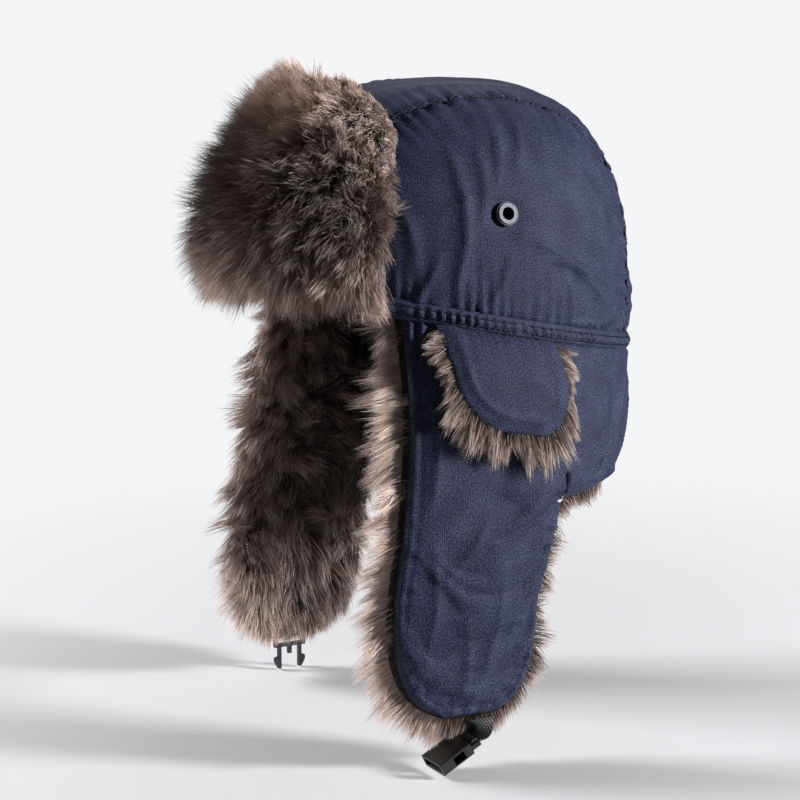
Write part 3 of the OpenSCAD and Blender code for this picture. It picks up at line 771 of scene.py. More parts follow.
crownLook = {
    "puff": 1.1 * mm,       # the wadding's fullness close to the seams
    "swell": 0.6 * mm,      # and further in
    "creases": [  # on the side panel: (y, z) from and to, width and height, in millimetres
        ((-3, 104), (-10, 70), 4, 2.0), ((12, 106), (4, 78), 3.5, 1.7), ((-30, 84), (-36, 18), 5, 2.4),
        ((-16, 90), (-21, 52), 4, 1.6), ((0, 45), (58, 6), 4.5, 2.3), ((12, 32), (68, 10), 3.5, 1.5),
        ((-50, 16), (-68, 2), 3, 2.0), ((-44, 34), (-62, 6), 3.5, 1.9), ((38, 82), (64, 38), 5, 1.7),
        ((20, 66), (50, 32), 4, 1.2), ((74, 50), (84, 12), 4.5, 1.8), ((-6, 34), (-24, 3), 3.2, 1.5),
        ((26, 26), (34, 2), 3, 1.3), ((-60, 62), (-55, 28), 4.5, 1.5), ((48, 24), (56, 0), 3, 1.3),
        ((-38, 60), (-8, 66), 3, 0.9),
    ],
    "stitchInset": 2.4 * mm,
}


def seamLine(gap, count=260):
    return seamPoint(np.linspace(0, 1, count), gap)


def sidePanelShell(name, turn, seed, material):
    u, v = steps(120, 84)
    piece = clothFrom(name, [sidePanel(u, v)], roundHead, material)
    rest = pointsOf(piece)
    away, along = nearest(rest, seamLine(crown["sewnGap"]))
    above = rest[:, 2] + crown["bandFall"] * rest[:, 1]
    settle(piece, (away < 3.2 * mm) | (above < 1.6 * mm), seed)
    points, out = pointsOf(piece), normalsOf(piece)
    around = np.arctan2(rest[:, 1], rest[:, 0]) * 100 * mm
    height = crownLook["puff"] * fullness(away, 2.5 * mm) * fullness(above, 4 * mm)
    height += crownLook["swell"] * fullness(away, 14 * mm) * fullness(above, 12 * mm)
    height += 1.5 * mm * gathers(along, away, 11 * mm, 18 * mm, seed)
    height += 0.8 * mm * gathers(along, away, 4.5 * mm, 8 * mm, seed + 5)
    height += 1.3 * mm * gathers(around, above, 7.5 * mm, 15 * mm, seed + 9)
    height += 0.6 * mm * np.exp(-((away - 1.0 * mm) / (0.7 * mm)) ** 2)
    height -= 0.5 * mm * np.exp(-((away - crownLook["stitchInset"]) / (0.7 * mm)) ** 2)
    height += creases(rest, crownLook["creases"]) + 0.5 * mm * lumps(rest, 26 * mm, seed + 2)
    height = np.maximum(height, -0.5 * mm)
    height -= 0.9 * mm * valley(away, 0.5 * mm) + 0.7 * mm * valley(above, 0.6 * mm)
    hole = np.linalg.norm(rest - eyeletCentre, axis=1)
    height *= 1 - np.exp(-(hole / (10 * mm)) ** 4)
    points = points + out * height[:, None]
    movePoints(piece, points)
    thicken(piece, cloth["wall"])
    if turn < 0:
        mirrorPiece(piece)
    return piece


def mirrorPiece(piece):
    movePoints(piece, mirrored(pointsOf(piece)))
    piece.data.flip_normals()


def centrePanelShell(name, seed, material):
    u, v = steps(84, 190)
    piece = clothFrom(name, [centrePanel(u, v)], overTop, material)
    rest = pointsOf(piece)
    line = seamLine(-crown["sewnGap"])
    away, along = nearest(np.abs(rest) * [1, 0, 0] + rest * [0, 1, 1], line)
    above = rest[:, 2] + crown["bandFall"] * rest[:, 1]
    settle(piece, (away < 2.4 * mm) | (above < 1.6 * mm), seed)
    points, out = pointsOf(piece), normalsOf(piece)
    half = np.sign(rest[:, 0])
    height = crownLook["puff"] * fullness(away, 2 * mm) * fullness(above, 4 * mm)
    height += crownLook["swell"] * fullness(away, 14 * mm) * fullness(above, 12 * mm)
    height += 1.5 * mm * gathers(along + 0.5 * half, away, 9 * mm, 14 * mm, seed)
    height += 0.9 * mm * np.exp(-((away - 1.2 * mm) / (1.0 * mm)) ** 2)
    length = np.arctan2(rest[:, 2], rest[:, 1]) * 110 * mm
    for place, width, rise in ((-28, 4.5, 1.8), (-11, 4, 1.5), (6, 5, 1.9), (24, 4, 1.7)):
        drift = 4 * mm * wander(length, 45 * mm, seed + place)
        fade = 0.5 + 0.5 * wander(length, 38 * mm, seed + place + 3)
        height += rise * mm * fade * np.exp(-((rest[:, 0] - place * mm - drift) / (width * mm)) ** 2)
    height += 0.5 * mm * lumps(rest, 24 * mm, seed + 2)
    height = np.maximum(height, -0.45 * mm)
    height -= 0.9 * mm * valley(away, 0.5 * mm) + 0.7 * mm * valley(above, 0.6 * mm)
    movePoints(piece, points + out * height[:, None])
    thicken(piece, cloth["wall"])
    return piece


def eyeletPlace():  # the eyelet's centre on the shell and its straight way out
    share = float(crownShare(np.array(eyelet["height"])))
    x = crown["halfWidth"] * math.sqrt(share ** 2 - (eyelet["fore"] / crown["halfLength"]) ** 2)
    level = share ** (crown["square"] - 2)
    out = Vector((level * x / crown["halfWidth"] ** 2, -level * eyelet["fore"] / crown["halfLength"] ** 2,
                  (eyelet["height"] / crown["height"]) ** (crown["square"] - 1) / crown["height"]))
    return Vector((x, -eyelet["fore"], eyelet["height"])), out.normalized()


eyeletCentre = np.array(eyeletPlace()[0])


def cutRound(piece, centre, out, radius, length):  # cuts a round hole straight through
    activate(piece)
    bpy.ops.mesh.primitive_cylinder_add(vertices=48, radius=radius, depth=length, location=centre,
                                        rotation=out.to_track_quat("Z", "Y").to_euler())
    cutter = bpy.context.object
    cut = piece.modifiers.new("hole", "BOOLEAN")
    cut.object, cut.operation, cut.solver = cutter, "DIFFERENCE", "EXACT"
    applyModifiers(piece)
    bpy.data.objects.remove(cutter)


def eyeletRing(name, outer, inner, low, high, edge, side, material):
    centre, out = eyeletPlace()
    centre, out = Vector((centre.x * side, centre.y, centre.z)), Vector((out.x * side, out.y, out.z))
    bpy.ops.object.select_all(action="DESELECT")
    bpy.ops.mesh.primitive_cylinder_add(vertices=64, radius=outer, depth=high - low,
                                        location=centre + out * (low + high) / 2,
                                        rotation=out.to_track_quat("Z", "Y").to_euler())
    ring = bpy.context.object
    ring.name = ring.data.name = name
    bpy.ops.object.mode_set(mode="EDIT")
    mesh = bmesh.from_edit_mesh(ring.data)
    for face in mesh.faces:
        face.select = len(face.verts) > 4
    bmesh.update_edit_mesh(ring.data)
    bpy.ops.mesh.inset(thickness=outer - inner)
    bpy.ops.mesh.bridge_edge_loops()
    mesh = bmesh.from_edit_mesh(ring.data)
    mesh.normal_update()
    for e in mesh.edges:
        e.select = e.is_manifold and e.calc_face_angle(0) > 1
    bmesh.update_edit_mesh(ring.data)
    bpy.ops.mesh.bevel(offset=edge, segments=3, affect="EDGES")
    bpy.ops.mesh.select_all(action="SELECT")
    bpy.ops.mesh.remove_doubles(threshold=1e-6)
    bpy.ops.mesh.normals_make_consistent(inside=False)
    bpy.ops.object.mode_set(mode="OBJECT")
    bpy.ops.object.transform_apply(location=True, rotation=True, scale=True)
    ring.data.materials.append(material)
    bpy.ops.object.shade_smooth_by_angle(angle=math.radians(40))
    return ring


def bandRing(name, material):
    count = 620
    angle = np.linspace(0, 2 * np.pi, count, endpoint=False)
    low = crown["bandHeight"]
    inner = crown["bandProud"] - crown["casingDepth"]
    # across the casing, from its top inner corner over the outside to its bottom inner corner
    profile = [(-1.6 * mm, -0.9 * mm), (0.8 * mm, -0.8 * mm), (1.6 * mm, 0.2 * mm), (2.0 * mm, 1.3 * mm),
               (1.7 * mm, 1.9 * mm), (2.3 * mm, 2.8 * mm), (2.5 * mm, 4.2 * mm), (2.3 * mm, 5.6 * mm),
               (1.7 * mm, 6.5 * mm), (2.0 * mm, 7.1 * mm), (1.6 * mm, low + 0.2 * mm),
               (0.8 * mm, low + 1.3 * mm), (-1.6 * mm, low + 1.4 * mm), (inner, low - 0.2 * mm),
               (inner, 0.5 * mm)]
    around = angle * 100 * mm
    points = []
    for k, (out, down) in enumerate(profile):
        free = math.sin(math.pi * min(1, max(0, (down - 0.3 * mm) / (low - 0.6 * mm))))
        fold = gathers(around, np.zeros(count), 4.6 * mm, 1, 3) * 1.1 * mm * free if 1 < k < 11 else 0 * angle
        shift = 0.25 * mm * wander(around, 12 * mm, 8)
        points.append(bandAt(angle, (out + fold)[:, None].T[0], down + shift))
    points = np.stack(points)
    rows = len(profile)
    number = np.arange(rows * count).reshape(rows, count)
    faces = [(number[r, c], number[r, (c + 1) % count], number[(r + 1) % rows, (c + 1) % count],
              number[(r + 1) % rows, c]) for r in range(rows) for c in range(count)]
    piece = meshFrom(name, points.reshape(-1, 3), faces, material)
    turnOutward(piece)
    layFlat(piece.data, "clothPlace", roundHead(pointsOf(piece))[cornersOf(piece.data)])
    return piece


skirtLook = {
    "puff": 1.2 * mm,
    "creases": [
        ((88, -30), (38, -92), 5, 3.2), ((98, -42), (64, -94), 4, 2.6), ((30, -30), (22, -90), 6, 1.8),
        ((-52, -30), (-58, -92), 5, 1.5), ((14, -86), (-40, -112), 6, 1.6), ((16, -104), (-8, -150), 6, 1.9),
        ((-58, -112), (-62, -170), 5, 1.5), ((-20, -128), (-36, -190), 7, 1.6),
        ((2, -150), (-14, -196), 5, 1.4),
        ((58, -34), (50, -82), 5, 2.2), ((-26, -96), (-54, -130), 5, 1.5), ((-40, -150), (-44, -192), 6, 1.2),
    ],
    "hem": 6 * mm,
}


def skirtPatches(out, past, toAngle, fine, foot=1.0, hem=1.0):
    foreU, foreV = steps(int(60 * fine), int(58 * fine))
    rearU, rearV = steps(int(78 * fine), int(58 * fine))
    flapU, flapV = steps(int(60 * fine), int(70 * fine))
    rearV = rearV * (1 - (1 - hem) * np.minimum(1, 6 * rearU))
    return [skirtFore(foreU, foreV, out, past), skirtRear(rearU, rearV, out, toAngle),
            flapAt(flapU, flapV * foot, out, past)]


def edgeLine():  # the free edge, from the band down the front, round the foot, to the nape
    t = np.linspace(0, 1, 120)
    down = skirtFore(0 * t, t, 0)
    fore = flapAt(0 * t, t, 0)
    foot = flapAt(t, 0 * t + 1, 0)
    rear = flapAt(0 * t + 1, 1 - t, 0)
    nape = skirtRear(t, 0 * t + 1, 0, math.pi / 2)
    return np.concatenate([down, fore[1:], foot[1:], rear[1:], nape[1:]])


def skirtShell(name, side, seed, material):
    piece = clothFrom(name, skirtPatches(0, 0, math.pi / 2, 1), roundHead, material)
    rest = pointsOf(piece)
    away, along = nearest(rest, edgeLine())
    below = bandFoot(rest[:, 1]) - rest[:, 2]
    nape = np.abs(rest[:, 0]) < 0.5 * mm
    settle(piece, (away < 4 * mm) | (below < 1.6 * mm) | nape, seed)
    points, out = pointsOf(piece), normalsOf(piece)
    around = np.arctan2(rest[:, 1], rest[:, 0]) * 100 * mm
    height = skirtLook["puff"] * fullness(away, 6 * mm) * fullness(below, 5 * mm)
    height += 1.8 * mm * gathers(around, below, 7 * mm, 16 * mm, seed)
    height += 0.6 * mm * gathers(along, away, 10 * mm, 10 * mm, seed + 4)
    height -= 0.7 * mm * np.exp(-((away - skirtLook["hem"]) / (0.6 * mm)) ** 2)
    height += creases(rest, skirtLook["creases"]) + 0.9 * mm * lumps(rest, 34 * mm, seed + 2)
    height = np.maximum(height, -0.45 * mm)
    height -= 3.2 * mm * valley(away, 1.1 * mm) + 0.7 * mm * valley(below, 0.6 * mm)
    movePoints(piece, points + out * height[:, None])
    thicken(piece, cloth["wall"])
    hole = Vector((crown["halfWidth"], -skirt["holeFore"], -skirt["holeDrop"]))
    cutRound(piece, hole, Vector((1, 0, 0)), skirt["holeRadius"], 0.09)
    if side < 0:
        mirrorPiece(piece)
    return piece


def coverShell(name, side, seed, material):
    u, v = steps(64, 56)
    piece = clothFrom(name, [coverAt(u, v, cover["pile"]) + np.array([1.4 * mm, 0, 0])], sideways, material)
    rest = pointsOf(piece)
    edge = np.concatenate([coverAt(0 * u[0], u[0], cover["pile"]), coverAt(u[0], 0 * u[0] + 1, cover["pile"]),
                           coverAt(0 * u[0] + 1, 1 - u[0], cover["pile"])]) + np.array([1.4 * mm, 0, 0])
    away = nearest(rest, edge)[0]
    below = bandFoot(rest[:, 1]) - rest[:, 2]
    out = normalsOf(piece)
    height = 1.6 * mm * fullness(away, 5 * mm) * fullness(below, 5 * mm)
    height += 0.8 * mm * np.exp(-((away - 8 * mm) / (2.2 * mm)) ** 2)
    height += 0.5 * mm * gathers(rest[:, 1], below, 6 * mm, 9 * mm, seed)
    height -= 0.7 * mm * np.exp(-((rest[:, 1] + cover["fore"]) / (3 * mm)) ** 2 - (below / (4 * mm)) ** 2)
    height += 0.4 * mm * lumps(rest, 18 * mm, seed) - 0.7 * mm * np.exp(-(away / (0.8 * mm)) ** 2)
    movePoints(piece, rest + out * height[:, None])
    thicken(piece, cloth["wall"])
    if side < 0:
        mirrorPiece(piece)
    return piece


def frontShell(name, material):
    u, v = steps(90, 70)
    piece = clothFrom(name, [frontAt(u, v, 2.7 * mm)], roundHead, material)
    rest = pointsOf(piece)
    movePoints(piece, rest + normalsOf(piece) * (0.12 * mm * lumps(rest, 16 * mm, 5))[:, None])
    thicken(piece, 0.6 * mm)
    return piece


def quilted(name, patch, pitch, side, material):
    piece = clothFrom(name, [patch], roundHead, material)
    around, height = roundHead(pointsOf(piece)).T
    rising, falling = np.sin(np.pi * (around + height) / pitch), np.sin(np.pi * (around - height) / pitch)
    puff = 0.9 * mm * np.abs(rising * falling) ** 0.5
    points = pointsOf(piece) - normalsOf(piece) * puff[:, None]
    movePoints(piece, points)
    wall = piece.modifiers.new("wall", "SOLIDIFY")
    wall.thickness, wall.offset = 0.4 * mm, 1
    applyModifiers(piece)
    if side < 0:
        mirrorPiece(piece)
    return piece


def tangents(surface, u, v, out):  # the surface's outward normal, and its directions along u and v
    step = 1e-3
    a = surface(np.minimum(1, u + step), v, out) - surface(np.maximum(0, u - step), v, out)
    b = surface(u, np.minimum(1, v + step), out) - surface(u, np.maximum(0, v - step), out)
    normal = np.cross(a, b)
    unit = lambda d: d / np.maximum(1e-12, np.linalg.norm(d, axis=-1, keepdims=True))
    normal = unit(normal)
    centre = surface(u, v, out) * [1, 1, 0.3]
    normal *= np.where((normal * centre).sum(-1, keepdims=True) < 0, -1, 1)
    return normal, unit(a), unit(b)


# Tapered ribbons, each a hair or a few that cling together. stand is each hair's way out of the backing
# and comb the way it lies over, both with their own lengths. The mix runs from 0 for a dark hair to 1 for a
# frosted one, and where the callers set it by place it also holds painted light and shade. The lift to pale
# colour nearer the root is painted light, and keep moves points that would come through cloth
def pile(name, roots, stand, comb, length, frostAndPaintedLight, seed, material, clump=0.5, clumpSize=60, width=1.0,
         keep=None, paintedLight=0):
    random = np.random.default_rng(seed)
    count = len(roots)
    unit = lambda d: d / np.maximum(1e-12, np.linalg.norm(d, axis=1, keepdims=True))
    leaders = random.choice(count, max(1, count // clumpSize), replace=False)
    tree = kdtree.KDTree(len(leaders))
    for i, k in enumerate(leaders):
        tree.insert(roots[k], i)
    tree.balance()
    blur = random.normal(0, 1.2 * mm, (count, 3))
    group = np.array([tree.find(p)[1] for p in roots + blur])
    groupLean = random.normal(0, 0.3, (len(leaders), 3))[group]
    groupSize = random.uniform(0.78, 1.18, len(leaders))[group]
    length = length * groupSize * random.uniform(0.55, 1.2, count)
    first = unit(stand + 0.35 * comb + groupLean * 0.6 + random.normal(0, 0.16, (count, 3)))
    second = unit(0.45 * stand + comb + groupLean + random.normal(0, 0.14, (count, 3)))
    middle = roots + first * (length * 0.5)[:, None]
    tip = middle + second * (length * 0.5)[:, None]
    leader = leaders[group]
    reach = clump * random.uniform(0.5, 1, count)[:, None]
    middle += (middle[leader] - middle) * reach * 0.35
    tip += (tip[leader] - tip) * reach
    curve = lambda t: (1 - t) ** 2 * roots + 2 * t * (1 - t) * middle + t * t * tip
    across = unit(np.cross(tip - roots, random.normal(0, 1, (count, 3))))
    places = (0.0, 0.38, 0.72, 1.0)
    halves = (0.85, 1.0, 0.6, 0.0)
    half = fur["hairWidth"] / 2 * width * random.uniform(0.7, 1.25, count)
    points, heights = [], []
    for t, share in zip(places, halves):
        for sign in (-1, 1) if share else (0,):
            points.append(curve(t) + across * (sign * half * share)[:, None])
            heights.append(np.full(count, 0.02 + 0.96 * t))
    points = np.stack(points, 1)          # hair, its 7 points, xyz
    if keep:
        points = keep(points)
    heights = np.stack(heights, 1)
    # painted light: these hairs take their pale colour from nearer the root
    heights += np.reshape(paintedLight, (-1, 1)) * (0.98 - heights)
    shade = frostAndPaintedLight + random.normal(0, 0.1, len(leaders))[group] + random.normal(0, 0.14, count)
    shade = np.clip(shade, 0.01, 0.98)
    base = (np.arange(count) * 7)[:, None]
    quads = np.stack([base + [0, 1, 3, 2], base + [2, 3, 5, 4]], 1).reshape(-1, 4)
    tips = base + [4, 5, 6]
    loops = np.concatenate([quads.ravel(), tips.ravel()]).astype(np.int32)
    sizes = np.concatenate([np.full(len(quads), 4), np.full(len(tips), 3)])
    mesh = bpy.data.meshes.new(name)
    mesh.vertices.add(count * 7)
    mesh.vertices.foreach_set("co", points.ravel())
    mesh.loops.add(len(loops))
    mesh.loops.foreach_set("vertex_index", loops)
    mesh.polygons.add(len(sizes))
    mesh.polygons.foreach_set("loop_start", np.concatenate([[0], np.cumsum(sizes)[:-1]]).astype(np.int32))
    mesh.polygons.foreach_set("use_smooth", [True] * len(sizes))
    mesh.update(calc_edges=True)
    mesh.validate()
    sideOf = np.array([-1, 1, -1, 1, -1, 1, 0]) * 0.008
    flat = np.stack([shade[:, None] + sideOf, heights], -1).reshape(-1, 2)
    layFlat(mesh, "OFBake", flat[cornersOf(mesh)].astype(np.float32))
    mesh.materials.append(material)
    piece = bpy.data.objects.new(name, mesh)
    bpy.context.scene.collection.objects.link(piece)
    print("grew", name, count, "hairs")
    return piece


pileLook = {
    "frontHairs": 37000, "frontLength": 27 * mm,
    "earHairs": 37000, "earLength": 21 * mm,
    "napeHairs": 26000,
    "coverHairs": 13000, "coverLength": 17 * mm,
}


def underShell(points):  # hairs that lie under the skirt or the flap don't come through its cloth
    y, z = points[..., 1], points[..., 2]
    s = np.clip((-z - skirt["depth"]) / flap["length"], 0, 1)
    lower = np.sin(np.pi / 2 * np.minimum(1, s / 0.6))
    half = (flap["halfWidth"] - flap["narrowing"] * lower) * np.sqrt(np.maximum(0, 1 - s ** 7))
    middle = -flap["fore"] - flap["sweep"] * lower
    onFlap = (z < -skirt["depth"]) & (np.abs(y - middle) < half + 9 * mm)
    onSkirt = (z >= -skirt["depth"]) & (y > frontEdgeY(z) - 9 * mm)
    safe = np.clip(y, -100 * mm, 80 * mm)
    limit = earX(safe, z, -2.5 * mm)
    x = np.where((onFlap | onSkirt) & (np.abs(points[..., 0]) > limit) & (np.abs(y - safe) < 1e-9),
                 np.sign(points[..., 0]) * limit, points[..., 0])
    return np.stack([x, y, z], -1)


def earPile(name, side, seed, material, shareOfRear=0.2):
    random = np.random.default_rng(seed)
    count = pileLook["earHairs"]
    rear = int(count * shareOfRear)
    count -= rear
    u, v = random.uniform(0, 1, count), random.uniform(0, 2, count)
    edge = random.uniform(0, 1, count)
    foreward, rearward = random.beta(1, 9, count), 1 - random.beta(1, 12, count)
    u = np.where(edge < 0.26, foreward, np.where(edge > 0.86, rearward, u))
    v = np.where((edge > 0.7) & (edge < 0.8), 2 - random.beta(1, 10, count), v)
    depth = 4.5 * mm + 7 * mm * np.minimum(1, 6 * np.minimum(u, 1 - u)) * random.uniform(0, 1, count)
    roots = np.where((v < 1)[:, None], skirtFore(u, np.clip(v, 0, 1), -depth, 2 * mm),
                     flapAt(u, np.clip(v - 1, 0, 1), -depth, 2 * mm))
    z = roots[:, 2]
    inward = -np.stack([np.ones(count), 0 * z, 0 * z], -1)
    foreEdge = np.exp(-u / 0.14)
    rearEdge = np.exp(-(1 - u) / 0.07) * (v > 1)
    footEdge = np.exp(-(2 - v) / 0.16)
    low = np.clip((v - 0.7) / 1.0, 0, 1)
    comb = np.stack([-0.25 - 0.1 * foreEdge + 0.3 * rearEdge, -1.0 * foreEdge + 0.95 * rearEdge - 0.15,
                     -0.45 - 0.7 * low - 1.3 * footEdge], -1)
    drift = np.stack([lumps(roots + k, 17 * mm, seed) for k in (0, 1, 2)], -1)
    comb = comb + 1.1 * drift
    stand = inward * (1 - 0.95 * np.maximum(foreEdge, np.maximum(rearEdge, footEdge)))[:, None]
    stand += np.stack([0 * z, -0.9 * foreEdge + 0.6 * rearEdge, -0.7 * footEdge], -1)
    far = side < 0
    length = pileLook["earLength"] * (1.12 - (0 if far else 0.06) * foreEdge - 0.5 * rearEdge
                                      - (0.5 if far else 0.15) * footEdge)
    # Lighter towards the front and rear edges and the foot. The far flap's foot is less frosted than the near
    # one's, which is painted shade, and both front edges turn pale from nearer the root, the near one more,
    # which is painted light where the shell's edge shades them
    frostAndPaintedLight = 0.18 + 0.78 * np.maximum(np.exp(-(u / 0.4) ** 2), np.maximum(0.9 * rearEdge,
                                                                         (0.35 if far else 0.7) * footEdge))
    paintedLight = np.concatenate([(0.45 if side < 0 else 0.75) * foreEdge, np.zeros(rear)])
    a, w = random.uniform(0, 1, rear), random.uniform(0, 1, rear)
    hem = random.uniform(0, 1, rear) < 0.35
    w = np.where(hem, 1 - random.beta(1, 14, rear), w)
    deep = 4.5 * mm + 7 * mm * np.minimum(1, 8 * (1 - w)) * random.uniform(0, 1, rear)
    rearRoots = skirtRear(a, w, -deep, skirt["napeAngle"])
    hemShare = np.exp(-(1 - w) / 0.08)[:, None]
    centre = rearRoots * [1, 1, 0]
    centre /= np.linalg.norm(centre, axis=1, keepdims=True)
    rearStand = -centre * (1 - 0.9 * hemShare) + np.array([0, 0, -0.5]) * hemShare
    rearComb = np.array([0, 0.1, -0.7]) - 0.3 * centre * (1 - hemShare) - np.array([0, 0, 0.4]) * hemShare
    roots = np.concatenate([roots, rearRoots])
    stand, comb = np.concatenate([stand, rearStand]), np.concatenate([comb, rearComb])
    length = np.concatenate([length, pileLook["earLength"] * (0.85 - 0.35 * hemShare[:, 0])])
    frostAndPaintedLight = np.concatenate([frostAndPaintedLight, 0.15 + 0.6 * hemShare[:, 0]])
    fromHole = np.hypot(roots[:, 1] + skirt["holeFore"], roots[:, 2] + skirt["holeDrop"])
    clear = fromHole > skirt["holeRadius"] - 4 * mm
    mirror = np.array([side, 1, 1])
    return pile(name, (roots * mirror)[clear], (stand * mirror)[clear], (comb * mirror)[clear], length[clear],
                frostAndPaintedLight[clear], seed, material, clump=0.5, clumpSize=45, keep=underShell, paintedLight=paintedLight[clear])


def napePile(name, seed, material):
    random = np.random.default_rng(seed)
    count = pileLook["napeHairs"]
    angle = random.uniform(skirt["napeAngle"], math.pi - skirt["napeAngle"], count)
    atHem = random.uniform(0, 1, count) < 0.3
    v = np.where(atHem, 1 - random.beta(1, 12, count), random.uniform(0, 1, count))
    deep = 4.5 * mm + 7 * mm * np.minimum(1, 8 * (1 - v)) * random.uniform(0, 1, count)
    top = bandFoot(crown["halfLength"] * np.sin(angle))
    z = top + (-skirt["depth"] - top) * v
    roots = skirtAt(angle, z, -deep)
    hem = np.exp(-(1 - v) / 0.08)[:, None]
    centre = roots * [1, 1, 0]
    centre /= np.linalg.norm(centre, axis=1, keepdims=True)
    stand = -centre * (1 - 0.9 * hem) + np.array([0, 0, -0.5]) * hem
    comb = np.array([0, 0, -0.8]) - 0.3 * centre * (1 - hem)
    length = pileLook["earLength"] * (0.85 - 0.35 * hem[:, 0])
    return pile(name, roots, stand, comb, length, 0.15 + 0.6 * hem[:, 0], seed, material, clump=0.55,
                clumpSize=55)


def frontPile(name, seed, material, edges):
    random = np.random.default_rng(seed)
    count = pileLook["frontHairs"]
    u, v = random.uniform(0, 1, count), random.uniform(0, 1, count)
    if edges:  # the second coat is thickest along the flap's edges
        pick = random.integers(0, 4, count)
        near = random.beta(1, 7, count)
        u = np.where(pick == 0, near, np.where(pick == 1, 1 - near, u))
        v = np.where(pick == 2, 1 - near, np.where(pick == 3, near, v))
    rim = np.minimum(np.minimum(u, 1 - u), np.minimum(v, 1 - v))
    depth = 5 * mm + 8 * mm * np.minimum(1, rim * 7) * random.uniform(0, 1, count)
    roots = frontAt(u, v, depth)
    out, across, up = tangents(frontAt, u, v, 5 * mm)
    p = (2 * u - 1)[:, None]
    q = ((v - 0.5) / 0.5)[:, None]
    side = np.sign(p) * np.abs(p) ** 2.2
    rise = np.sign(q) * np.abs(q) ** 1.4
    edge = np.clip(np.maximum(np.abs(p) ** 4, np.abs(q) ** 3), 0, 1)
    comb = np.where(p < 0, 1.25, 0.55) * side * across + np.where(q > 0, 0.45, 1.2) * rise * up + 0.3 * out
    drift = np.stack([lumps(np.stack([u * 4, v * 3, 0 * u + k], -1), 1, 6) for k in (0, 9)], -1)
    corner = (np.clip((u - 0.5) / 0.5, 0, 1) * np.clip((v - 0.45) / 0.55, 0, 1))[:, None]
    comb -= corner * (0.5 * across + 0.6 * up)
    left = np.clip((0.45 - u) / 0.45, 0, 1)
    comb -= (0.7 * left * np.clip(v / 0.5, 0, 1))[:, None] * up
    comb += 0.6 * drift[:, :1] * across + (0.6 * drift[:, 1:] - 0.15) * up
    stand = out * (1 - 0.62 * edge) + 0.5 * edge * (side * across + rise * up)
    low = np.exp(-v / 0.12)
    high = np.clip((v - 0.55) / 0.45, 0, 1)
    length = pileLook["frontLength"] * (1 - 0.2 * edge[:, 0] + 0.15 * low - 0.3 * high)
    length *= np.where(u > 0.8, 0.82, 1)
    length *= 1 - 0.6 * corner[:, 0] - 0.45 * left * np.clip((v - 0.2) / 0.5, 0, 1) + 0.25 * left * low
    wave = lumps(np.stack([u * 3, v * 2, 0 * u], -1), 1, 4)
    # Lighter towards the edges and the foot, with random patches. The extra lightness at the top, and the
    # pale roots there, is painted light from above
    frostAndPaintedLight = 0.1 + 0.75 * np.clip(1.3 * edge[:, 0], 0, 1) + 0.3 * low + 0.5 * high ** 1.5
    frostAndPaintedLight += 0.4 * high * edge[:, 0] + 0.25 * wave
    return pile(name, roots, stand, comb, length, frostAndPaintedLight, seed, material, clump=0.5, clumpSize=40,
                paintedLight=0.35 * high)


def coverPile(name, side, seed, material):
    random = np.random.default_rng(seed)
    count = pileLook["coverHairs"]
    t = random.uniform(0, 1, count)
    onSide = random.uniform(0, 1, count)
    inset = random.beta(1, 3, count) * 0.16
    u = np.where(onSide < 0.27, inset, np.where(onSide < 0.54, 1 - inset, t))
    v = np.where(onSide < 0.54, 0.04 + 0.94 * t, 1 - 1.5 * inset)
    height = random.uniform(0.3, 1, count)
    roots = coverAt(u, v, 0) * (1 - height[:, None]) + coverAt(u, v, cover["pile"]) * height[:, None]
    roots += np.array([1.0 * mm, 0, 0])
    middle = np.array([0, -cover["fore"], -0.01])
    away = (roots - middle) * [0, 1, 1]
    away /= np.linalg.norm(away, axis=1, keepdims=True)
    away[:, 2] = np.minimum(away[:, 2], 0.15)
    stand = away + np.array([0.25, 0, 0])
    comb = away * 0.9 + np.array([-0.05, 0, -0.55])
    low = np.clip((v - 0.6) / 0.4, 0, 1)
    ragged = 0.6 + 0.95 * np.abs(wander(np.where(onSide < 0.54, v, u), 0.11, seed))
    length = pileLook["coverLength"] * (0.72 + 0.35 * low) * ragged
    mirror = np.array([side, 1, 1])
    return pile(name, roots * mirror, stand * mirror, comb * mirror, length,
                np.full(count, 0.72), seed, material, clump=0.75, clumpSize=70, width=0.85)


# What shows between the hairs, and what is sewn in under the shell: a soft layer with a lumpy face
def backing(name, patches, thickness, material, side=1):
    piece = clothFrom(name, patches, roundHead, material)
    points = pointsOf(piece)
    bump = 0.9 * mm * lumps(points, 7 * mm, 3)
    movePoints(piece, points - normalsOf(piece) * np.abs(bump)[:, None])
    thicken(piece, thickness)
    if side < 0:
        mirrorPiece(piece)
    return piece


# From here the hat is put together piece by piece
addCamera()
addStudio()
navyCloth, threadAndSeamShade, satin = wovenNylon(), darkThreadAndSeamShade(), quiltedSatin()
hair, underfur = frostedPile(), pileBacking()
webbing, acetal, nickelAndPaintedReflection, enamel = ribbedWebbing(), mouldedAcetal(), nickelWithPaintedReflection(), blackEnamel()
wadding = battingFelt("polyester_wadding", "#8f8f8b", "#e2e2dc", 0.8 * mm)
felt = battingFelt("stiffener_felt", "#6f6f6c", "#b9b9b4", 0.6 * mm)
elastic = knittedElastic()
print("materials made")

finishes = {"wadding": wadding, "elastic": elastic, "stiffener": felt, "washer": nickelAndPaintedReflection, "strap": webbing,
            "buckle": acetal, "plug": acetal}
for name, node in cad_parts.items():
    for word, material in finishes.items():
        if word in name:
            node.data.materials.clear()
            node.data.materials.append(material)

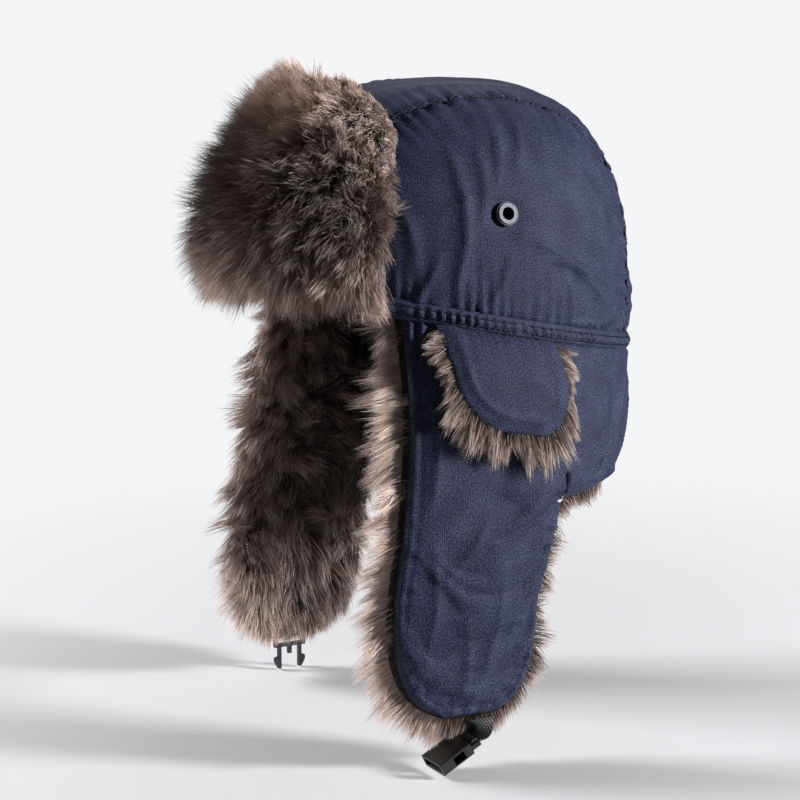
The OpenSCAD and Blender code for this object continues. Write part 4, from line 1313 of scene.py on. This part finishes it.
sides = {"left": 1, "right": -1}
for label, side in sides.items():
    seed = 11 if side > 0 else 23
    panel = sidePanelShell("crown_side_shell_" + label, side, seed, navyCloth)
    centre, out = eyeletPlace()
    cutRound(panel, Vector((centre.x * side, centre.y, centre.z)), Vector((out.x * side, out.y, out.z)),
             eyelet["bore"] + 1 * mm, 12 * mm)
    finishPiece(panel, "hat", "shell_nylon", "crown_side_panel_" + label)
top = centrePanelShell("crown_centre_shell", 31, navyCloth)
finishPiece(top, "hat", "shell_nylon", "crown_centre_panel")
print("crown shells made")

finishPiece(bandRing("gathered_band", navyCloth), "hat", "shell_nylon", "band_casing")
print("band made")

for label, side in sides.items():
    shell = skirtShell("skirt_and_flap_shell_" + label, side, 41 if side > 0 else 53, navyCloth)
    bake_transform(shell)
    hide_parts("skirt_shell", "ear_flap_shell_" + label)
    lid = coverShell("ear_cover_shell_puffed_" + label, side, 61, navyCloth)
    finishPiece(lid, "ear_cover_" + label, "shell_nylon", "ear_cover_shell_" + label)
finishPiece(frontShell("front_flap_cloth", navyCloth), "front_flap", "shell_nylon", "front_flap_shell")
print("skirt, flaps and covers made")

# A near-black cord of overlapping stitches closes each long seam of the crown, painted shade for the seam's
# shaded valley, and two rows of thread run round the band
for label, side in sides.items():
    line = seamPoint(np.linspace(0.004, 0.996, 400), 0)
    up = line / np.array([crown["halfWidth"], crown["halfLength"], crown["height"]])
    up /= np.linalg.norm(up, axis=1, keepdims=True)
    line, up = (line + up * 0.5 * mm) * [side, 1, 1], up * [side, 1, 1]
    # painted shade: one unbroken dark cord where the seam's valley lies in shadow
    seamShadeCord = stitches("crown_seam_painted_shade_" + label, line, up, threadAndSeamShade, -0.2 * mm, 0.6 * mm, dip=0.05)
    finishPiece(seamShadeCord, "hat", "shell_nylon")
for place, drop in (("upper", 2.1 * mm), ("lower", 6.4 * mm)):
    angle = np.linspace(0, 2 * np.pi, 700)
    line = bandAt(angle, 2.3 * mm, drop + 0 * angle)
    up = np.stack([np.cos(angle), np.sin(angle), 0 * angle], -1)
    row = stitches("band_topstitch_" + place, line, up, threadAndSeamShade, 0.5 * mm, 0.34 * mm)
    finishPiece(row, "hat", "shell_nylon")
print("stitching made")

for label, side in sides.items():
    collar = eyeletRing("eyelet_collar_" + label, eyelet["rim"], eyelet["bore"] + 0.3 * mm, -1.9 * mm,
                        eyelet["proud"] - 0.7 * mm, 0.35 * mm, side, enamel)
    # painted reflection: the face ring is a lighter metal than the collar so that the top face shows as
    # reflected light
    face = eyeletRing("eyelet_face_" + label, eyelet["rim"] - 0.9 * mm, eyelet["bore"],
                      eyelet["proud"] - 1.2 * mm, eyelet["proud"], 0.55 * mm, side, nickelAndPaintedReflection)
    finishPiece(collar, "hat", "eyelet_metal", "eyelet_" + label)
    finishPiece(face, "hat", "eyelet_metal", "eyelet_" + label)
print("eyelets made")

liningOut, diamondPitch = -6.1 * mm, 22 * mm
lining = quilted("quilted_lining_centre", centrePanel(*steps(60, 160), liningOut), diamondPitch, 1, satin)
finishPiece(lining, "hat", "lining_satin", "crown_lining_centre")
for label, side in sides.items():
    lining = quilted("quilted_lining_" + label, sidePanel(*steps(100, 64), liningOut), diamondPitch, side,
                     satin)
    finishPiece(lining, "hat", "lining_satin", "crown_lining_" + label)
print("linings made")

for label, side in sides.items():
    under = backing("ear_underfur_" + label, skirtPatches(-4.2 * mm, 1 * mm, skirt["napeAngle"], 0.45),
                    7 * mm, underfur, side)
    hole = Vector((crown["halfWidth"] * side, -skirt["holeFore"], -skirt["holeDrop"]))
    cutRound(under, hole, Vector((1, 0, 0)), skirt["holeRadius"], 0.09)
    inset = skirtPatches(-1.3 * mm, -3.5 * mm, skirt["napeAngle"], 0.4, foot=0.955, hem=0.94)
    fill = backing("ear_and_flap_wadding_" + label, inset, 2 * mm, wadding, side)
    cutRound(fill, hole, Vector((1, 0, 0)), skirt["holeRadius"] + 2 * mm, 0.09)
    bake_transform(fill)
    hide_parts("ear_wadding_" + label, "ear_flap_wadding_" + label)
    coat = earPile("ear_pile_" + label, side, 71 if side > 0 else 83, hair)
    for piece in (under, coat):
        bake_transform(piece)
        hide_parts("ear_fur_" + label, "ear_flap_fur_" + label)
    lidFur = backing("ear_cover_underfur_" + label,
                     [coverAt(*steps(30, 26), cover["pile"] - 0.3 * mm) + np.array([0.8 * mm, 0, 0])],
                     3 * mm, underfur, side)
    fringe = coverPile("ear_cover_fringe_" + label, side, 91 + side, hair)
    finishPiece(lidFur, "ear_cover_" + label, "fur_pile", "ear_cover_fur_" + label)
    finishPiece(fringe, "ear_cover_" + label, "fur_pile", "ear_cover_fur_" + label)
u, v = steps(60, 26)
angle = skirt["napeAngle"] + (math.pi - 2 * skirt["napeAngle"]) * u
roof = bandFoot(crown["halfLength"] * np.sin(angle))
patch = skirtAt(angle, roof + (-skirt["depth"] - roof) * v, -4.2 * mm)
under = backing("nape_underfur", [patch], 7 * mm, underfur)
finishPiece(under, "hat", "fur_pile", "neck_fur")
patch = skirtAt(angle, roof + (-skirt["depth"] + 5 * mm - roof) * v, -1.3 * mm)
fill = backing("nape_wadding", [patch], 2 * mm, wadding)
finishPiece(fill, "hat", "wadding", "neck_wadding")
finishPiece(napePile("nape_pile", 95, hair), "hat", "fur_pile", "neck_fur")
u, v = steps(50, 34)
under = backing("front_underfur", [frontAt(0.03 + 0.94 * u, 0.03 + 0.9 * v, 12 * mm)], 7.3 * mm, underfur)
finishPiece(under, "front_flap", "fur_pile", "front_flap_fur")
finishPiece(frontPile("front_pile_under", 97, hair, False), "front_flap", "fur_pile", "front_flap_fur")
finishPiece(frontPile("front_pile_edge", 99, hair, True), "front_flap", "fur_pile", "front_flap_fur")
print("pile made")

bpy.context.view_layer.update()
